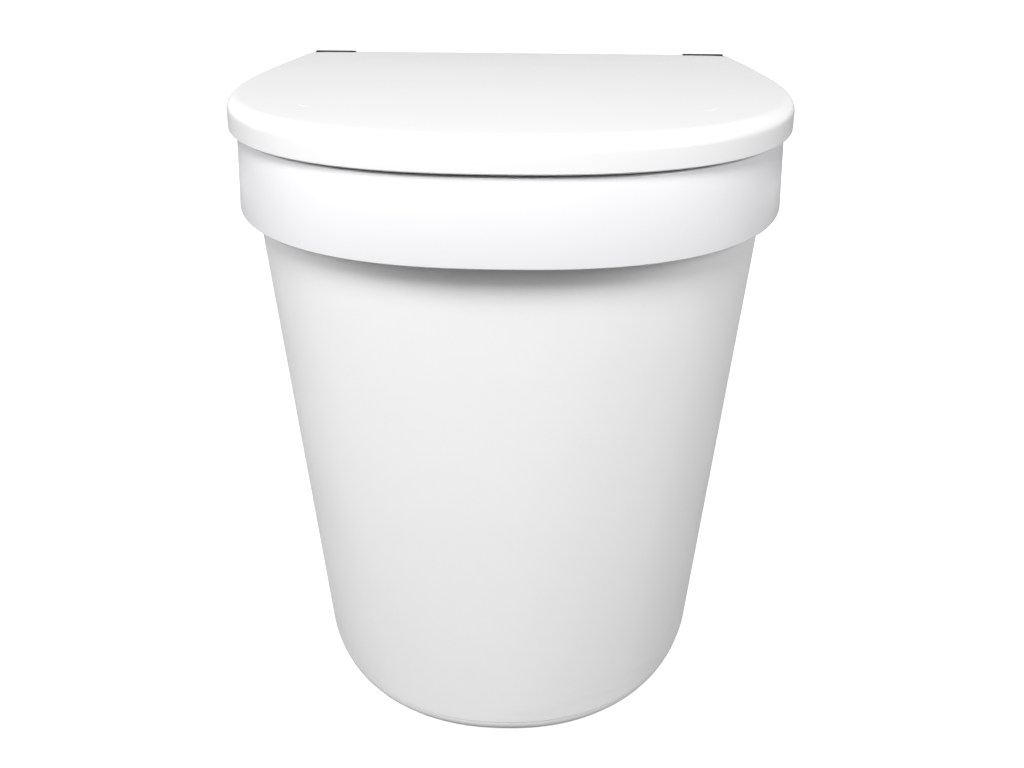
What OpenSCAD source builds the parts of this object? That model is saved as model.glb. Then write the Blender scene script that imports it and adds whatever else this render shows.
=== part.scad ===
// Portable urine-diverting composting toilet: a tapered casing, a lift-off seat collar with its diverter,
// a hinged lid, and a solids bucket and a urine canister inside.
// Millimetres. X is across, -Y is the front, Z is up. The origin is on the floor, under the middle of the plan.

/* [Overall] */
// Width over the lid
total_w = 400; // [380:2:420]
// Depth over the lid, front to back
total_d = 465; // [450:1:480]
// Height over the crown of the lid
total_h = 450; // [440:1:470]

/* [Plan] */
// Distance from the front edge to the widest line
front_d = 291; // [285:1:297]
// Squareness of the front curve: 2 is an ellipse, more is boxier
front_n = 2.45; // [2.3:0.05:2.6]
// How far each side draws in on its way to the back
side_draw = 5; // [0:1:8]
// Radius of the two back corners
corner_r = 16; // [12:1:20]

/* [Lid] */
// Height of the lid, edge to crown
lid_h = 24.5; // [23:0.5:26]
// Wall of the lid
lid_wall = 2.6; // [2:0.1:3]
// Rise of the crown above the rim
lid_crown = 3; // [2:0.5:4]
// Radius round the top edge
lid_r = 9; // [7:0.5:11]
// Gap between the lid and the collar
lid_gap = 1.5; // [1:0.1:2]
// How much higher the back wall of the lid ends, to swing clear
lid_back_cut = 4.5; // [4:0.5:6]
// Radius of the rubber buffers
buffer_r = 7; // [5:0.5:8]

/* [Collar and seat] */
// Height of the collar's skirt
collar_h = 51; // [45:1:56]
// Wall of the collar
collar_wall = 3; // [2.5:0.1:3.5]
// How far the collar stands in from the lid, at the ledge
collar_in = 5.5; // [4.5:0.5:6]
// How far its skirt flares out to its lower edge
collar_flare = 2.5; // [1:0.5:3]
// Rise of the seat above the ledge that the lid closes on
seat_rise = 16; // [14:0.5:16.5]
// Width of the ledge at the front and the sides
ledge_w = 11; // [10:0.5:13]
// Width of the ledge at the back, under the hinges
back_ledge_w = 40; // [38:1:44]
// Side of the seat opening, in from the side of the lid
open_side_in = 88; // [82:1:96]
// Front of the opening, in from the front of the lid
open_front_in = 64.5; // [60:0.5:70]
// Back of the opening, in from the back of the lid
open_back_in = 127.5; // [124:0.5:134]
// How far the opening's widest line lies behind its middle
open_rear_shift = 6.5; // [3:0.5:10]
// Depth of the lip that hangs round the opening
lip_h = 11; // [8:1:13]

/* [Casing] */
// Wall and floor of the casing
casing_wall = 3; // [2.5:0.5:3.5]
// How far its rim stands in from the lid's plan
rim_in = 14; // [13.5:0.5:15]
// How far its foot stands in at the sides and the back
foot_in = 42; // [38:1:46]
// How far its foot stands in at the front
foot_front_in = 62; // [56:1:66]
// Radius round the foot
foot_r = 10; // [8:1:12]
// Squareness of the plan at the rim
rim_n = 2.7; // [2.6:0.05:2.8]
// Squareness of the plan at the foot
foot_n = 2.2; // [2.2:0.05:2.4]
// Gap between the casing's turned-out rim and the collar
rim_gap = 1.2; // [1:0.1:1.5]
// Thickness of the foam seal under the collar
seal_t = 3; // [2:0.5:4]
// Height of the rib between the two containers
rib_h = 14; // [8:1:20]
// Radius of a rubber foot
pad_r = 16; // [12:1:20]
// How far a rubber foot stands proud
pad_h = 2; // [1.5:0.5:3]

/* [Hinge] */
// Middle of each hinge block, in from the side of the lid
hinge_side_in = 32; // [31:1:36]
// Width of a hinge block
block_w = 36; // [30:1:38]
// Radius of a hinge block round its pin
block_r = 8.5; // [8:0.25:9]
// Pin axis, in from the back of the lid
hinge_in = 11; // [10.5:0.25:11.5]
// Pin axis, above the ledge
hinge_rise = 14.5; // [14.5:0.25:15]
// Radius of a hinge pin
pin_r = 3; // [2.5:0.25:3.5]
// Radius of the lid's knuckle
knuckle_r = 7; // [6.5:0.25:7.5]
// Width of the lid's knuckle
knuckle_w = 11; // [8:1:14]

/* [Diverter] */
// Wall of the diverter
diverter_wall = 2.5; // [2:0.5:3]
// Depth of the chute below its flange
chute_h = 72; // [60:1:80]
// How far the chute draws in on its way down
chute_draw = 9; // [6:1:12]
// Width of the flange
flange_w = 17; // [15:1:20]
// Depth of the urine pan below the flange, to its floor
pan_depth = 80; // [74:1:84]
// Drain, in from the front of the lid
drain_in = 112.5; // [108.5:1:116.5]
// Radius of the drain's bore
drain_r = 12.5; // [10:0.5:14]
// Length of the drain's spout
spout_h = 45; // [42:1:50]
// Radius of the strainer disc
strainer_r = 20; // [18:0.5:20.5]

/* [Solids bucket] */
// Rim of the bucket, in from the side of the lid
bucket_side_in = 62; // [58:1:70]
// Rim of the bucket, in from the back of the lid
bucket_back_in = 48.5; // [47:0.5:54]
// How much more than half of the containers' depth the bucket takes
bucket_more = 28; // [20:1:30]
// Height of the bucket
bucket_h = 312; // [280:2:316]
// Draft of the bucket from rim to foot
bucket_draft = 9; // [6:1:12]
// Wall of the bucket
bucket_wall = 2.5; // [2:0.5:3]
// Width of the bucket's flange
bucket_flange = 6; // [4:0.5:7]
// How much further the bail reaches than the bucket's rim
bail_more = 16; // [15:0.5:18]
// Radius of the bail's wire
wire_r = 3; // [2:0.25:3.25]
// Radius of the bail's grip
grip_r = 7; // [5:0.5:7.5]
// Length of the bail's grip
grip_l = 96; // [80:2:120]

/* [Urine canister] */
// Shoulder of the canister, in from the side of the lid
canister_side_in = 68; // [64:1:80]
// Front of the canister's shoulder, in from the front of the lid
canister_front_in = 58.5; // [54.5:0.5:68.5]
// Room between the canister and the bucket's rim
container_room = 14; // [12:1:18]
// Canister, from its widest line to its flat back
canister_back = 30; // [24:1:31]
// Height of the canister to its shoulder
canister_h = 258; // [230:2:262]
// Wall of the canister
canister_wall = 2.5; // [2:0.5:3]
// Radius of the canister's mouth
mouth_r = 21; // [18:0.5:22]
// Length of the canister's neck
neck_h = 34; // [30:1:36]
// Height of the canister's handle above its shoulder
handle_h = 28; // [24:1:32]
// Height of the screw cap
cap_h = 16; // [12:1:18]

/* [Hidden] */

plastic = "white";
soft_grey = "gainsboro";
rubber = "dimgray";
steel = "silver";
black = "#26282b";

// Levels, from the top down
lid_z = total_h - lid_h;
ledge_z = lid_z - lid_gap;
seat_z = ledge_z + seat_rise;
collar_z = ledge_z - collar_h;
rim_z = ledge_z - collar_wall - seal_t;
lip_z = ledge_z - lip_h;
lip_top = ledge_z - 2;          // where the seat's inner slope turns down into the lip
rim_top_z = total_h - lid_crown;

// Plan of the lid, about the widest line
half_w = total_w / 2;
rear_d = total_d - front_d;
widest_y = front_d - total_d / 2;
back_y = total_d / 2;
front_y = -total_d / 2;

// Places that follow the plan
open_w = half_w - open_side_in;
open_front = (total_d - open_front_in - open_back_in) / 2 + open_rear_shift;
open_back = (total_d - open_front_in - open_back_in) / 2 - open_rear_shift;
open_y = front_y + open_front_in + open_front;
hinge_x = half_w - hinge_side_in;
drain_y = front_y + drain_in;
containers_d = total_d - canister_front_in - container_room - bucket_back_in;
bucket_w = half_w - bucket_side_in;
bucket_d = containers_d / 4 + bucket_more / 2;
bucket_y = back_y - bucket_back_in - bucket_d;
bail_reach = bucket_d + bail_more;
canister_w = half_w - canister_side_in;
canister_front = containers_d / 2 - bucket_more - canister_back;
canister_y = front_y + canister_front_in + canister_front;

// Counts of points round an outline
front_steps = 17;
side_steps = 4;
corner_steps = 4;
oval_steps = 52;

// Clearances
fit = 0.3;       // between pieces that lie face to face on other bodies
run = 0.05;      // pin in a bore, on the radius
seat_gap = 2;    // diverter outside the seat's lip
container_gap = 0.3;

// ---------- outlines ----------
// Right half of a D: front curve, side, back corner. Its middle is on the widest line.
function half_d(a, front, back, n, draw, r) =
    let (y1 = back - r, x1 = a - draw * pow(y1 / back, 2) - r)
    concat(
        [for (i = [0 : front_steps]) let (t = 90 * i / front_steps)
            [a * pow(sin(t), 2 / n), -front * pow(cos(t), 2 / n)]],
        [for (i = [1 : side_steps]) let (y = y1 * i / side_steps)
            [a - draw * pow(y / back, 2), y]],
        [for (i = [1 : corner_steps]) let (t = 90 * i / corner_steps)
            [x1 + r * cos(t), y1 + r * sin(t)]]);

// The whole D, counter-clockwise from the front
function full_d(half, y0) =
    let (last = len(half) - 1)
    concat([for (p = half) [p[0], p[1] + y0]],
        [for (i = [last : -1 : 1]) [-half[i][0], half[i][1] + y0]]);

// The lid's plan, drawn in by d at the sides, front and back
function lid_plan(d) = plan_in(d, d, d, front_n);
function plan_in(side, front, back, n) =
    full_d(half_d(half_w - side, front_d - front, rear_d - back, n, side_draw,
        max(corner_r - back / 2, 8)), widest_y);

// An oval whose front and back depths differ
function oval_r(a, front, back, n, t) =
    let (b = sin(t) < 0 ? front : back)
    pow(pow(abs(cos(t)) / a, n) + pow(abs(sin(t)) / b, n), -1 / n);
function oval(a, front, back, n, y0, steps = oval_steps) =
    [for (i = [0 : steps - 1]) let (t = 360 * i / steps - 90, r = oval_r(a, front, back, n, t))
        [r * cos(t), y0 + r * sin(t)]];

// The seat opening, grown by g, with a point towards each point of an outline
function opening_at(outline, g) =
    [for (p = outline)
        let (t = atan2(p[1] - open_y, p[0]),
            r = oval_r(open_w + g, open_front + g, open_back + g, 2, t))
        [r * cos(t), open_y + r * sin(t)]];
function blend(p, q, t) = [for (i = [0 : len(p) - 1]) p[i] * (1 - t) + q[i] * t];
function scaled(p, s, y0) = [for (q = p) [q[0] * s, y0 + (q[1] - y0) * s]];
function at(p, z) = [for (q = p) [q[0], q[1], z]];

// ---------- lofts ----------
// Faces between rings of the same number of points, closed round each ring
function band(count, lower, upper) =
    [for (i = [0 : count - 1], k = [0, 1])
        let (j = (i + 1) % count, a = lower * count, b = upper * count)
        k == 0 ? [a + i, b + i, b + j] : [a + i, b + j, a + j]];
function flat(lists) = [for (l = lists, x = l) x];

// Solid between the first ring and the last, with a flat face on both
module stack(rings) {
    count = len(rings[0]);
    top = len(rings) - 1;
    polyhedron(flat(rings), concat(
        flat([for (i = [0 : top - 1]) band(count, i, i + 1)]),
        [[for (i = [0 : count - 1]) i]],
        [[for (i = [count - 1 : -1 : 0]) top * count + i]]), convexity = 6);
}

// Ring-shaped solid: the last ring joins the first again
module hoop(rings) {
    count = len(rings[0]);
    all = len(rings);
    polyhedron(flat(rings), flat([for (i = [0 : all - 1]) band(count, i, (i + 1) % all)]),
        convexity = 6);
}

module mirrored(x) {
    translate([x, 0, 0]) children();
    mirror([1, 0, 0]) translate([x, 0, 0]) children();
}

// ---------- casing ----------
function casing_share(z) = (z - pad_h) / (rim_z - pad_h);
function casing_plan(z, d) =
    let (s = casing_share(z))
    plan_in(foot_in + (rim_in - foot_in) * s + d, foot_front_in + (rim_in - foot_front_in) * s + d,
        foot_in + (rim_in - foot_in) * s + d, foot_n + (rim_n - foot_n) * s);

// A rounded foot: rings that turn from the floor up into the wall
function foot_rings(r, d, z, steps) =
    [for (i = [0 : steps]) let (t = 90 * i / steps)
        at(casing_plan(z + r * (1 - cos(t)), d + r * (1 - sin(t))), z + r * (1 - cos(t)))];

casing_levels = [0.25, 0.5, 0.75, 1];
flange_in = collar_in + collar_wall + rim_gap;
function wall_rings(d, levels) =
    [for (s = levels) let (z = pad_h + (rim_z - pad_h) * s) at(casing_plan(z, d), z)];

pad_recess = 1;
pad_x = half_w / 2;
pad_front_y = front_y + foot_front_in + 90.5;
pad_rear_y = back_y - foot_in - 65.5;
rib_t = 3;
rib_sunk = 2;                   // how deep the rib's foot stands in the floor
rib_y = canister_y + canister_back + 6;
rib_l = total_w * 3 / 8;

module casing() {
    floor_z = pad_h + casing_wall;
    color(plastic) difference() {
        union() {
            stack(concat(
                foot_rings(foot_r, 0, pad_h, 4),
                wall_rings(0, [for (i = [0 : 2]) casing_levels[i]]),
                [at(casing_plan(rim_z - casing_wall, 0), rim_z - casing_wall),
                    at(lid_plan(flange_in), rim_z - casing_wall),
                    at(lid_plan(flange_in), rim_z)],
                wall_rings(casing_wall, [for (i = [3 : -1 : 0]) casing_levels[i]]),
                [for (i = [3 : -1 : 0]) foot_rings(foot_r - casing_wall, casing_wall, floor_z, 3)[i]]));
            translate([-rib_l / 2, rib_y - rib_t / 2, floor_z - rib_sunk])
                cube([rib_l, rib_t, rib_sunk + rib_h]);
        }
        for (y = [pad_front_y, pad_rear_y]) mirrored(pad_x)
            translate([0, y, 0]) cylinder(h = pad_h + pad_recess, r = pad_r, $fn = 48);
    }
}

module foot(side, y) {
    color(rubber) translate([side * pad_x, y, 0]) cylinder(h = pad_h + pad_recess, r = pad_r, $fn = 48);
}

// ---------- seat collar ----------
seat_profile = [[0.02, 0.25], [0.05, 0.56], [0.10, 0.81], [0.18, 0.95], [0.30, 1], [0.45, 0.94],
    [0.60, 0.78], [0.74, 0.56], [0.86, 0.30], [0.95, 0.03]];
boss_r = 5;
flange_top = lip_top - collar_wall - 1;
bowl_screw_angles = [-52, 40];
screw_r = 1.6;
head_r = 3.2;
head_h = 2.5;
bowl_screw_l = 6;               // length in a boss
block_screw_y = back_y - 26;
block_screw_step = 7;

function seat_base(d) =
    full_d(half_d(half_w - ledge_w - d, front_d - ledge_w - d, rear_d - back_ledge_w - d,
        front_n, side_draw, 40), widest_y);
function seat_rings(d, drop, profile) =
    let (base = seat_base(d), hole = opening_at(base, d))
    [for (s = profile) at(blend(base, hole, s[0]), ledge_z + seat_rise * s[1] - drop)];

// Half-way out over the diverter's flange
module at_bowl_screws() {
    g = chute_in + diverter_wall + flange_w / 2;
    for (t = bowl_screw_angles)
        let (r = oval_r(open_w + g, open_front + g, open_back + g, 2, t))
        mirrored(r * cos(t)) translate([0, open_y + r * sin(t), 0]) children();
}

// Everything below the middle of the seat's wall, to end the bosses inside that wall
module below_seat() {
    half = collar_wall / 2;
    base = seat_base(half);
    stack(concat([at(base, lip_z), at(base, ledge_z - half)], seat_rings(half, half, seat_profile)));
}

module at_block_screws() {
    for (dx = [-block_screw_step, block_screw_step])
        mirrored(hinge_x + dx) translate([0, block_screw_y, 0]) children();
}

module seat_collar() {
    last = len(seat_profile) - 1;
    base = seat_base(0);
    inner = seat_base(collar_wall);
    color(plastic) difference() {
        union() {
            hoop(concat(
                [at(lid_plan(collar_in - collar_flare), collar_z),
                    at(lid_plan(collar_in), ledge_z - 1.5),
                    at(lid_plan(collar_in + 1.5), ledge_z),
                    at(base, ledge_z)],
                seat_rings(0, 0, seat_profile),
                [at(opening_at(base, 0), lip_top), at(opening_at(base, 0), lip_z),
                    at(opening_at(inner, collar_wall), lip_z),
                    at(opening_at(inner, collar_wall), lip_top - collar_wall)],
                seat_rings(collar_wall, collar_wall, [for (i = [last : -1 : 0]) seat_profile[i]]),
                [at(inner, ledge_z - collar_wall),
                    at(lid_plan(collar_in + collar_wall), ledge_z - collar_wall),
                    at(lid_plan(collar_in - collar_flare + collar_wall), collar_z)]));
            intersection() {
                at_bowl_screws() translate([0, 0, flange_top])
                    cylinder(h = seat_z - flange_top, r = boss_r, $fn = 32);
                below_seat();
            }
        }
        at_bowl_screws() translate([0, 0, flange_top - 1])
            cylinder(h = bowl_screw_l + 1.5, r = screw_r + run, $fn = 24);
        at_block_screws() translate([0, 0, ledge_z - collar_wall - 1])
            cylinder(h = collar_wall + 2, r = screw_r + 0.3, $fn = 24);
    }
}

seal_edge = 0.5;

module rim_seal() {
    color(rubber) translate([0, 0, rim_z]) linear_extrude(seal_t) difference() {
        polygon(lid_plan(flange_in + seal_edge));
        polygon(lid_plan(rim_in + casing_wall - seal_edge));
    }
}

// ---------- diverter ----------
chute_in = collar_wall + seat_gap;
pan_floor = flange_top - pan_depth;
spout_r = drain_r + 3;
// Each row: share of the depth, half width, front, back, and the middle's distance from the drain
pan_rows = [[0.21, open_w, 110, 40, 60], [0.40, open_w * 0.93, 104, 36, 58], [0.61, open_w * 0.77, 90, 34, 50],
    [0.81, open_w * 0.52, 62, 34, 30], [0.94, open_w * 0.32, 36, 30, 12]];

function chute_ring(g, z) =
    oval(open_w + g, open_front + g, open_back + g, 2, open_y);
function pan_ring(row, g, z) =
    at(oval(row[1] + g, row[2] + g, row[3] + g, 2.2, drain_y + row[4]), z);
function pan_z(row) = flange_top - pan_depth * row[0];

module chute() {
    bottom = flange_top - chute_h;
    outer = chute_in + diverter_wall;
    flange_z = flange_top - diverter_wall;
    hoop([at(chute_ring(outer - chute_draw), bottom),
        at(chute_ring(outer), flange_z),
        at(chute_ring(outer + flange_w), flange_z),
        at(chute_ring(outer + flange_w), flange_top),
        at(chute_ring(chute_in), flange_top),
        at(chute_ring(chute_in - chute_draw), bottom)]);
}

module pan() {
    last = len(pan_rows) - 1;
    w = diverter_wall;
    floor_outer = pan_floor - w;
    stack(concat(
        [at(oval(strainer_r + 1.2, strainer_r + 1.2, strainer_r + 1.2, 2, drain_y), floor_outer)],
        [for (i = [last : -1 : 0]) pan_ring(pan_rows[i], w * 0.8, pan_z(pan_rows[i]) - w * 0.6)],
        [pan_ring(pan_rows[0], w * 0.8, pan_z(pan_rows[0]) + 1)],
        [pan_ring(pan_rows[0], 0, pan_z(pan_rows[0]) + 1)],
        [for (i = [0 : last]) pan_ring(pan_rows[i], 0, pan_z(pan_rows[i]))],
        [at(oval(strainer_r + 0.6, strainer_r + 0.6, strainer_r + 0.6, 2, drain_y), pan_floor)]));
}

module diverter() {
    color(soft_grey) difference() {
        union() {
            chute();
            pan();
            translate([0, drain_y, pan_floor - spout_h]) cylinder(h = spout_h - 1, r = spout_r, $fn = 48);
        }
        translate([0, drain_y, pan_floor - spout_h - 1]) cylinder(h = spout_h + 2, r = drain_r, $fn = 48);
        at_bowl_screws() translate([0, 0, flange_top - diverter_wall - 1])
            cylinder(h = diverter_wall + 2, r = screw_r + 0.3, $fn = 24);
    }
}

module diverter_screws() {
    color(steel) at_bowl_screws() translate([0, 0, flange_top - diverter_wall]) {
        translate([0, 0, -head_h]) cylinder(h = head_h, r = head_r, $fn = 32);
        cylinder(h = diverter_wall + bowl_screw_l, r = screw_r, $fn = 24);
    }
}

strainer_t = 2;
strainer_hole_r = 2;
module strainer() {
    color(soft_grey) translate([0, drain_y, pan_floor]) difference() {
        union() {
            cylinder(h = strainer_t, r = strainer_r, $fn = 48);
            cylinder(h = strainer_t + 6, r = 3, $fn = 24);
        }
        for (i = [0 : 7]) rotate(i * 45) translate([drain_r - strainer_hole_r - 1, 0, -1])
            cylinder(h = strainer_t + 2, r = strainer_hole_r, $fn = 24);
    }
}

// ---------- hinges ----------
hinge_y = back_y - hinge_in;
hinge_z = ledge_z + hinge_rise;
block_foot_d = 32;
block_foot_h = 4;
pin_in = hinge_x - block_w / 2 - knuckle_w;   // inner end of a pin
pin_end = 2;                                   // wall left at the blind end of the bore

module along_x(x0, x1, r, fn = 48) {
    translate([x0, hinge_y, hinge_z]) rotate([0, 90, 0]) cylinder(h = x1 - x0, r = r, $fn = fn);
}

module hinge_block() {
    x0 = hinge_x - block_w / 2;
    x1 = hinge_x + block_w / 2;
    color(black) difference() {
        union() {
            along_x(x0, x1, block_r);
            translate([x0, hinge_y - block_r, ledge_z]) cube([block_w, block_r * 2, hinge_rise]);
            translate([x0, hinge_y + block_r - block_foot_d, ledge_z])
                cube([block_w, block_foot_d, block_foot_h]);
        }
        along_x(x0 - 1, x1 - pin_end, pin_r);
        for (dx = [-block_screw_step, block_screw_step])
            translate([hinge_x + dx, block_screw_y, ledge_z - 1])
                cylinder(h = block_foot_h + 2, r = screw_r + run, $fn = 24);
    }
}

module hinge_pin() {
    color(steel) along_x(pin_in, hinge_x + block_w / 2 - pin_end, pin_r);
}

module hinge_screws() {
    color(steel) at_block_screws() translate([0, 0, ledge_z - collar_wall]) {
        translate([0, 0, -head_h]) cylinder(h = head_h, r = head_r, $fn = 32);
        cylinder(h = collar_wall + block_foot_h, r = screw_r, $fn = 24);
    }
}

// ---------- lid ----------
crown_shares = [0.75, 0.45, 0.15];
crown_y = 0;
buffer_x = open_w + 6;
buffer_front_y = front_y + 102.5;
buffer_rear_y = back_y - 112.5;
buffer_pad_z = seat_z + 3.5;
buffer_stem_r = buffer_r + 2;
notch_gap = 1.2;                // lid in front of a hinge block
web_lap = 0.8;                  // how far a knuckle's web stands into the lid's skin
web_rear = 2;                   // how far it reaches behind the pin

// Rings from the edge over the rounded rim, at depth d inside the skin
function rim_rings(d) =
    [for (i = [0 : 5]) let (t = 18 * i, r = lid_r - d)
        at(lid_plan(lid_r - r * cos(t)), rim_top_z - lid_r + r * sin(t))];
function crown_rings(d) =
    let (top = crown_shares[len(crown_shares) - 1])
    [for (s = crown_shares) at(scaled(lid_plan(lid_r), s, crown_y),
        rim_top_z - d + lid_crown * (1 - s * s) / (1 - top * top))];

module lid_skin() {
    inner = concat([for (i = [2 : -1 : 0]) crown_rings(lid_wall)[i]],
        [for (i = [5 : -1 : 0]) rim_rings(lid_wall)[i]]);
    stack(concat(inner, [at(lid_plan(lid_wall), lid_z), at(lid_plan(0), lid_z)],
        rim_rings(0), crown_rings(0)));
}

module lid() {
    x0 = hinge_x - block_w / 2 - fit;
    notch_y = hinge_y - block_r - notch_gap;
    notch_d = back_y - notch_y + 1;
    web_z = rim_top_z - lid_wall - hinge_z + web_lap;
    stem_h = rim_top_z - lid_wall / 2 + lid_crown * 0.6 - buffer_pad_z;   // to the middle of the skin
    color(plastic) difference() {
        union() {
            lid_skin();
            mirrored(pin_in) translate([0, hinge_y, hinge_z]) {
                rotate([0, 90, 0]) cylinder(h = knuckle_w - fit, r = knuckle_r, $fn = 48);
                translate([0, -knuckle_r, 0])
                    cube([knuckle_w - fit, knuckle_r + web_rear, web_z]);
            }
            for (y = [buffer_front_y, buffer_rear_y]) mirrored(buffer_x)
                translate([0, y, buffer_pad_z]) cylinder(h = stem_h, r = buffer_stem_r, $fn = 32);
        }
        mirrored(x0) translate([0, notch_y, lid_z - 1]) cube([block_w + 2 * fit, notch_d, lid_h + 1]);
        translate([-half_w, notch_y, lid_z - 1]) cube([total_w, notch_d, lid_back_cut + 1]);
        mirrored(pin_in - 1) translate([0, hinge_y, hinge_z]) rotate([0, 90, 0])
            cylinder(h = knuckle_w + 2, r = pin_r + run, $fn = 48);
    }
}

module lid_buffer(side, y) {
    color(rubber) translate([side * buffer_x, y, seat_z + fit])
        cylinder(h = buffer_pad_z - seat_z - fit, r = buffer_r, $fn = 32);
}

// ---------- solids bucket ----------
inside_z = pad_h + casing_wall + container_gap;
bucket_top = inside_z + bucket_h;
bucket_n = 3.2;
bucket_foot_r = 12;
pivot_drop = 18;                // pivots, below the bucket's rim
pivot_z = bucket_top - pivot_drop;
ear_r = 7;
bail_x = bucket_w + bucket_flange + 8;
bail_bend = 30;
grip_drop = 0.42 * bail_reach;  // grip, below the pivots
// The bail lies with its grip against the bucket's back
bail_drop = acos((bucket_d - bucket_draft * (pivot_drop + grip_drop) / bucket_h + grip_r + fit) / bail_reach);

function bucket_ring(z, d) =
    let (in = d + bucket_draft * (1 - (z - inside_z) / bucket_h))
    at(oval(bucket_w - in, bucket_d - in, bucket_d - in, bucket_n, bucket_y), z);
function bucket_foot(r, d, z) =
    [for (i = [0 : 3]) let (t = 30 * i) bucket_ring(z + r * (1 - cos(t)), d + r * (1 - sin(t)))];

module solids_bucket() {
    w = bucket_wall;
    lip = bucket_top - 4;
    color(soft_grey) difference() {
        union() {
            stack(concat(
                bucket_foot(bucket_foot_r, 0, inside_z),
                [bucket_ring(lip, 0), bucket_ring(lip, -bucket_flange),
                    bucket_ring(bucket_top - 1, -bucket_flange), bucket_ring(bucket_top, -bucket_flange + 1),
                    bucket_ring(bucket_top, w)],
                [for (i = [3 : -1 : 0]) bucket_foot(bucket_foot_r - w, w, inside_z + w)[i]]));
            mirrored(bucket_w - 2.5) translate([0, bucket_y, pivot_z]) rotate([0, 90, 0])
                cylinder(h = bucket_flange + 2, r = ear_r, $fn = 32);
        }
        mirrored(bucket_w - 0.5) translate([0, bucket_y, pivot_z]) rotate([0, 90, 0])
            cylinder(h = bucket_flange + 4, r = wire_r + run, $fn = 32);
    }
}

// In its own frame the bail's arms run along +Y from the pivots
module in_bail() {
    translate([0, bucket_y, pivot_z]) rotate([-bail_drop, 0, 0]) children();
}

module bail_wire() {
    arm = bail_reach - bail_bend;
    color(steel) in_bail() union() {
        mirrored(bucket_w + 1) rotate([0, 90, 0])
            cylinder(h = bail_x - bucket_w - 1, r = wire_r, $fn = 32);
        mirrored(bail_x) {
            sphere(r = wire_r, $fn = 32);
            rotate([-90, 0, 0]) cylinder(h = arm, r = wire_r, $fn = 32);
            translate([-bail_bend, arm, 0]) rotate_extrude(angle = 90, $fn = 64)
                translate([bail_bend, 0]) circle(r = wire_r, $fn = 32);
        }
        translate([-bail_x + bail_bend, bail_reach, 0]) rotate([0, 90, 0])
            cylinder(h = 2 * (bail_x - bail_bend), r = wire_r, $fn = 32);
    }
}

module bail_grip() {
    color(black) in_bail() translate([-grip_l / 2, bail_reach, 0]) rotate([0, 90, 0]) difference() {
        cylinder(h = grip_l, r = grip_r, $fn = 32);
        translate([0, 0, -1]) cylinder(h = grip_l + 2, r = wire_r, $fn = 32);
    }
}

// ---------- urine canister ----------
shoulder_z = inside_z + canister_h;
canister_draft = 12;
canister_foot_r = 12;
canister_corner = 22;
neck_wall = 3.5;
thread_r = mouth_r + neck_wall + 1.2;   // crest of the neck's thread
thread_pitch = 6;
thread_t = 1.8;
handle_r = 7;
handle_x = canister_w / 3;
handle_y = canister_y - 4;
cap_x = canister_w - 50;
cap_y = canister_y - 34;
cap_wall = 2.2;
cap_play = 0.5;
cap_r = thread_r + cap_play + cap_wall;
cap_seal_t = 1.4;

function canister_ring(z, d) =
    let (in = canister_draft * (1 - (z - inside_z) / canister_h))
    at(full_d(half_d(canister_w - in - d, canister_front - in - d, canister_back - d, 2, 0,
        canister_corner - d / 3), canister_y), z);
function canister_foot(r, d, z) =
    [for (i = [0 : 3]) let (t = 30 * i) canister_ring(z + r * (1 - cos(t)), d + r * (1 - sin(t)))];
function canister_shoulder(r, d, z) =
    [for (i = [0 : 3]) let (t = 30 * i) canister_ring(z - r * (1 - sin(t)), d + r * (1 - cos(t)))];

module urine_canister() {
    w = canister_wall;
    color(soft_grey) difference() {
        union() {
            stack(concat(canister_foot(canister_foot_r, 0, inside_z),
                canister_shoulder(canister_foot_r, 0, shoulder_z)));
            translate([0, drain_y, shoulder_z - 1]) cylinder(h = neck_h + 1, r = mouth_r + neck_wall, $fn = 64);
            for (i = [0, 1])
                translate([0, drain_y, shoulder_z + neck_h - 2 - thread_t - i * thread_pitch])
                    cylinder(h = thread_t, r = thread_r, $fn = 64);
            translate([cap_x, cap_y, shoulder_z - 1]) cylinder(h = spigot_h + 1, r = thread_r, $fn = 48);
            handle();
        }
        stack(concat(canister_foot(canister_foot_r - w, w, inside_z + w),
            canister_shoulder(canister_foot_r - w, w, shoulder_z - w)));
        translate([0, drain_y, shoulder_z - w - 2]) cylinder(h = neck_h + w + 4, r = mouth_r, $fn = 64);
    }
}

module handle() {
    bar_z = shoulder_z + handle_h;
    translate([0, handle_y, 0]) {
        mirrored(handle_x) {
            translate([0, 0, shoulder_z - 1]) cylinder(h = handle_h + 1, r = handle_r, $fn = 32);
            translate([0, 0, bar_z]) sphere(r = handle_r, $fn = 32);
        }
        translate([-handle_x, 0, bar_z]) rotate([0, 90, 0]) cylinder(h = 2 * handle_x, r = handle_r, $fn = 32);
    }
}

// The cap is parked on a plain spigot, on the shoulder beside the neck
spigot_h = cap_h - cap_wall - cap_seal_t;
module in_cap() {
    translate([cap_x, cap_y, shoulder_z + fit]) children();
}

module canister_cap() {
    ribs = 24;
    color(black) in_cap() difference() {
        union() {
            cylinder(h = cap_h, r = cap_r, $fn = 64);
            for (i = [0 : ribs - 1]) rotate(i * 360 / ribs)
                translate([cap_r - 0.3, 0, 1]) cylinder(h = cap_h - 3, r = 1, $fn = 16);
        }
        translate([0, 0, -1]) cylinder(h = cap_h - cap_wall + 1, r = thread_r + cap_play, $fn = 64);
    }
}

module cap_seal() {
    color(rubber) in_cap() translate([0, 0, cap_h - cap_wall - cap_seal_t])
        cylinder(h = cap_seal_t, r = thread_r, $fn = 64);
}

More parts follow.
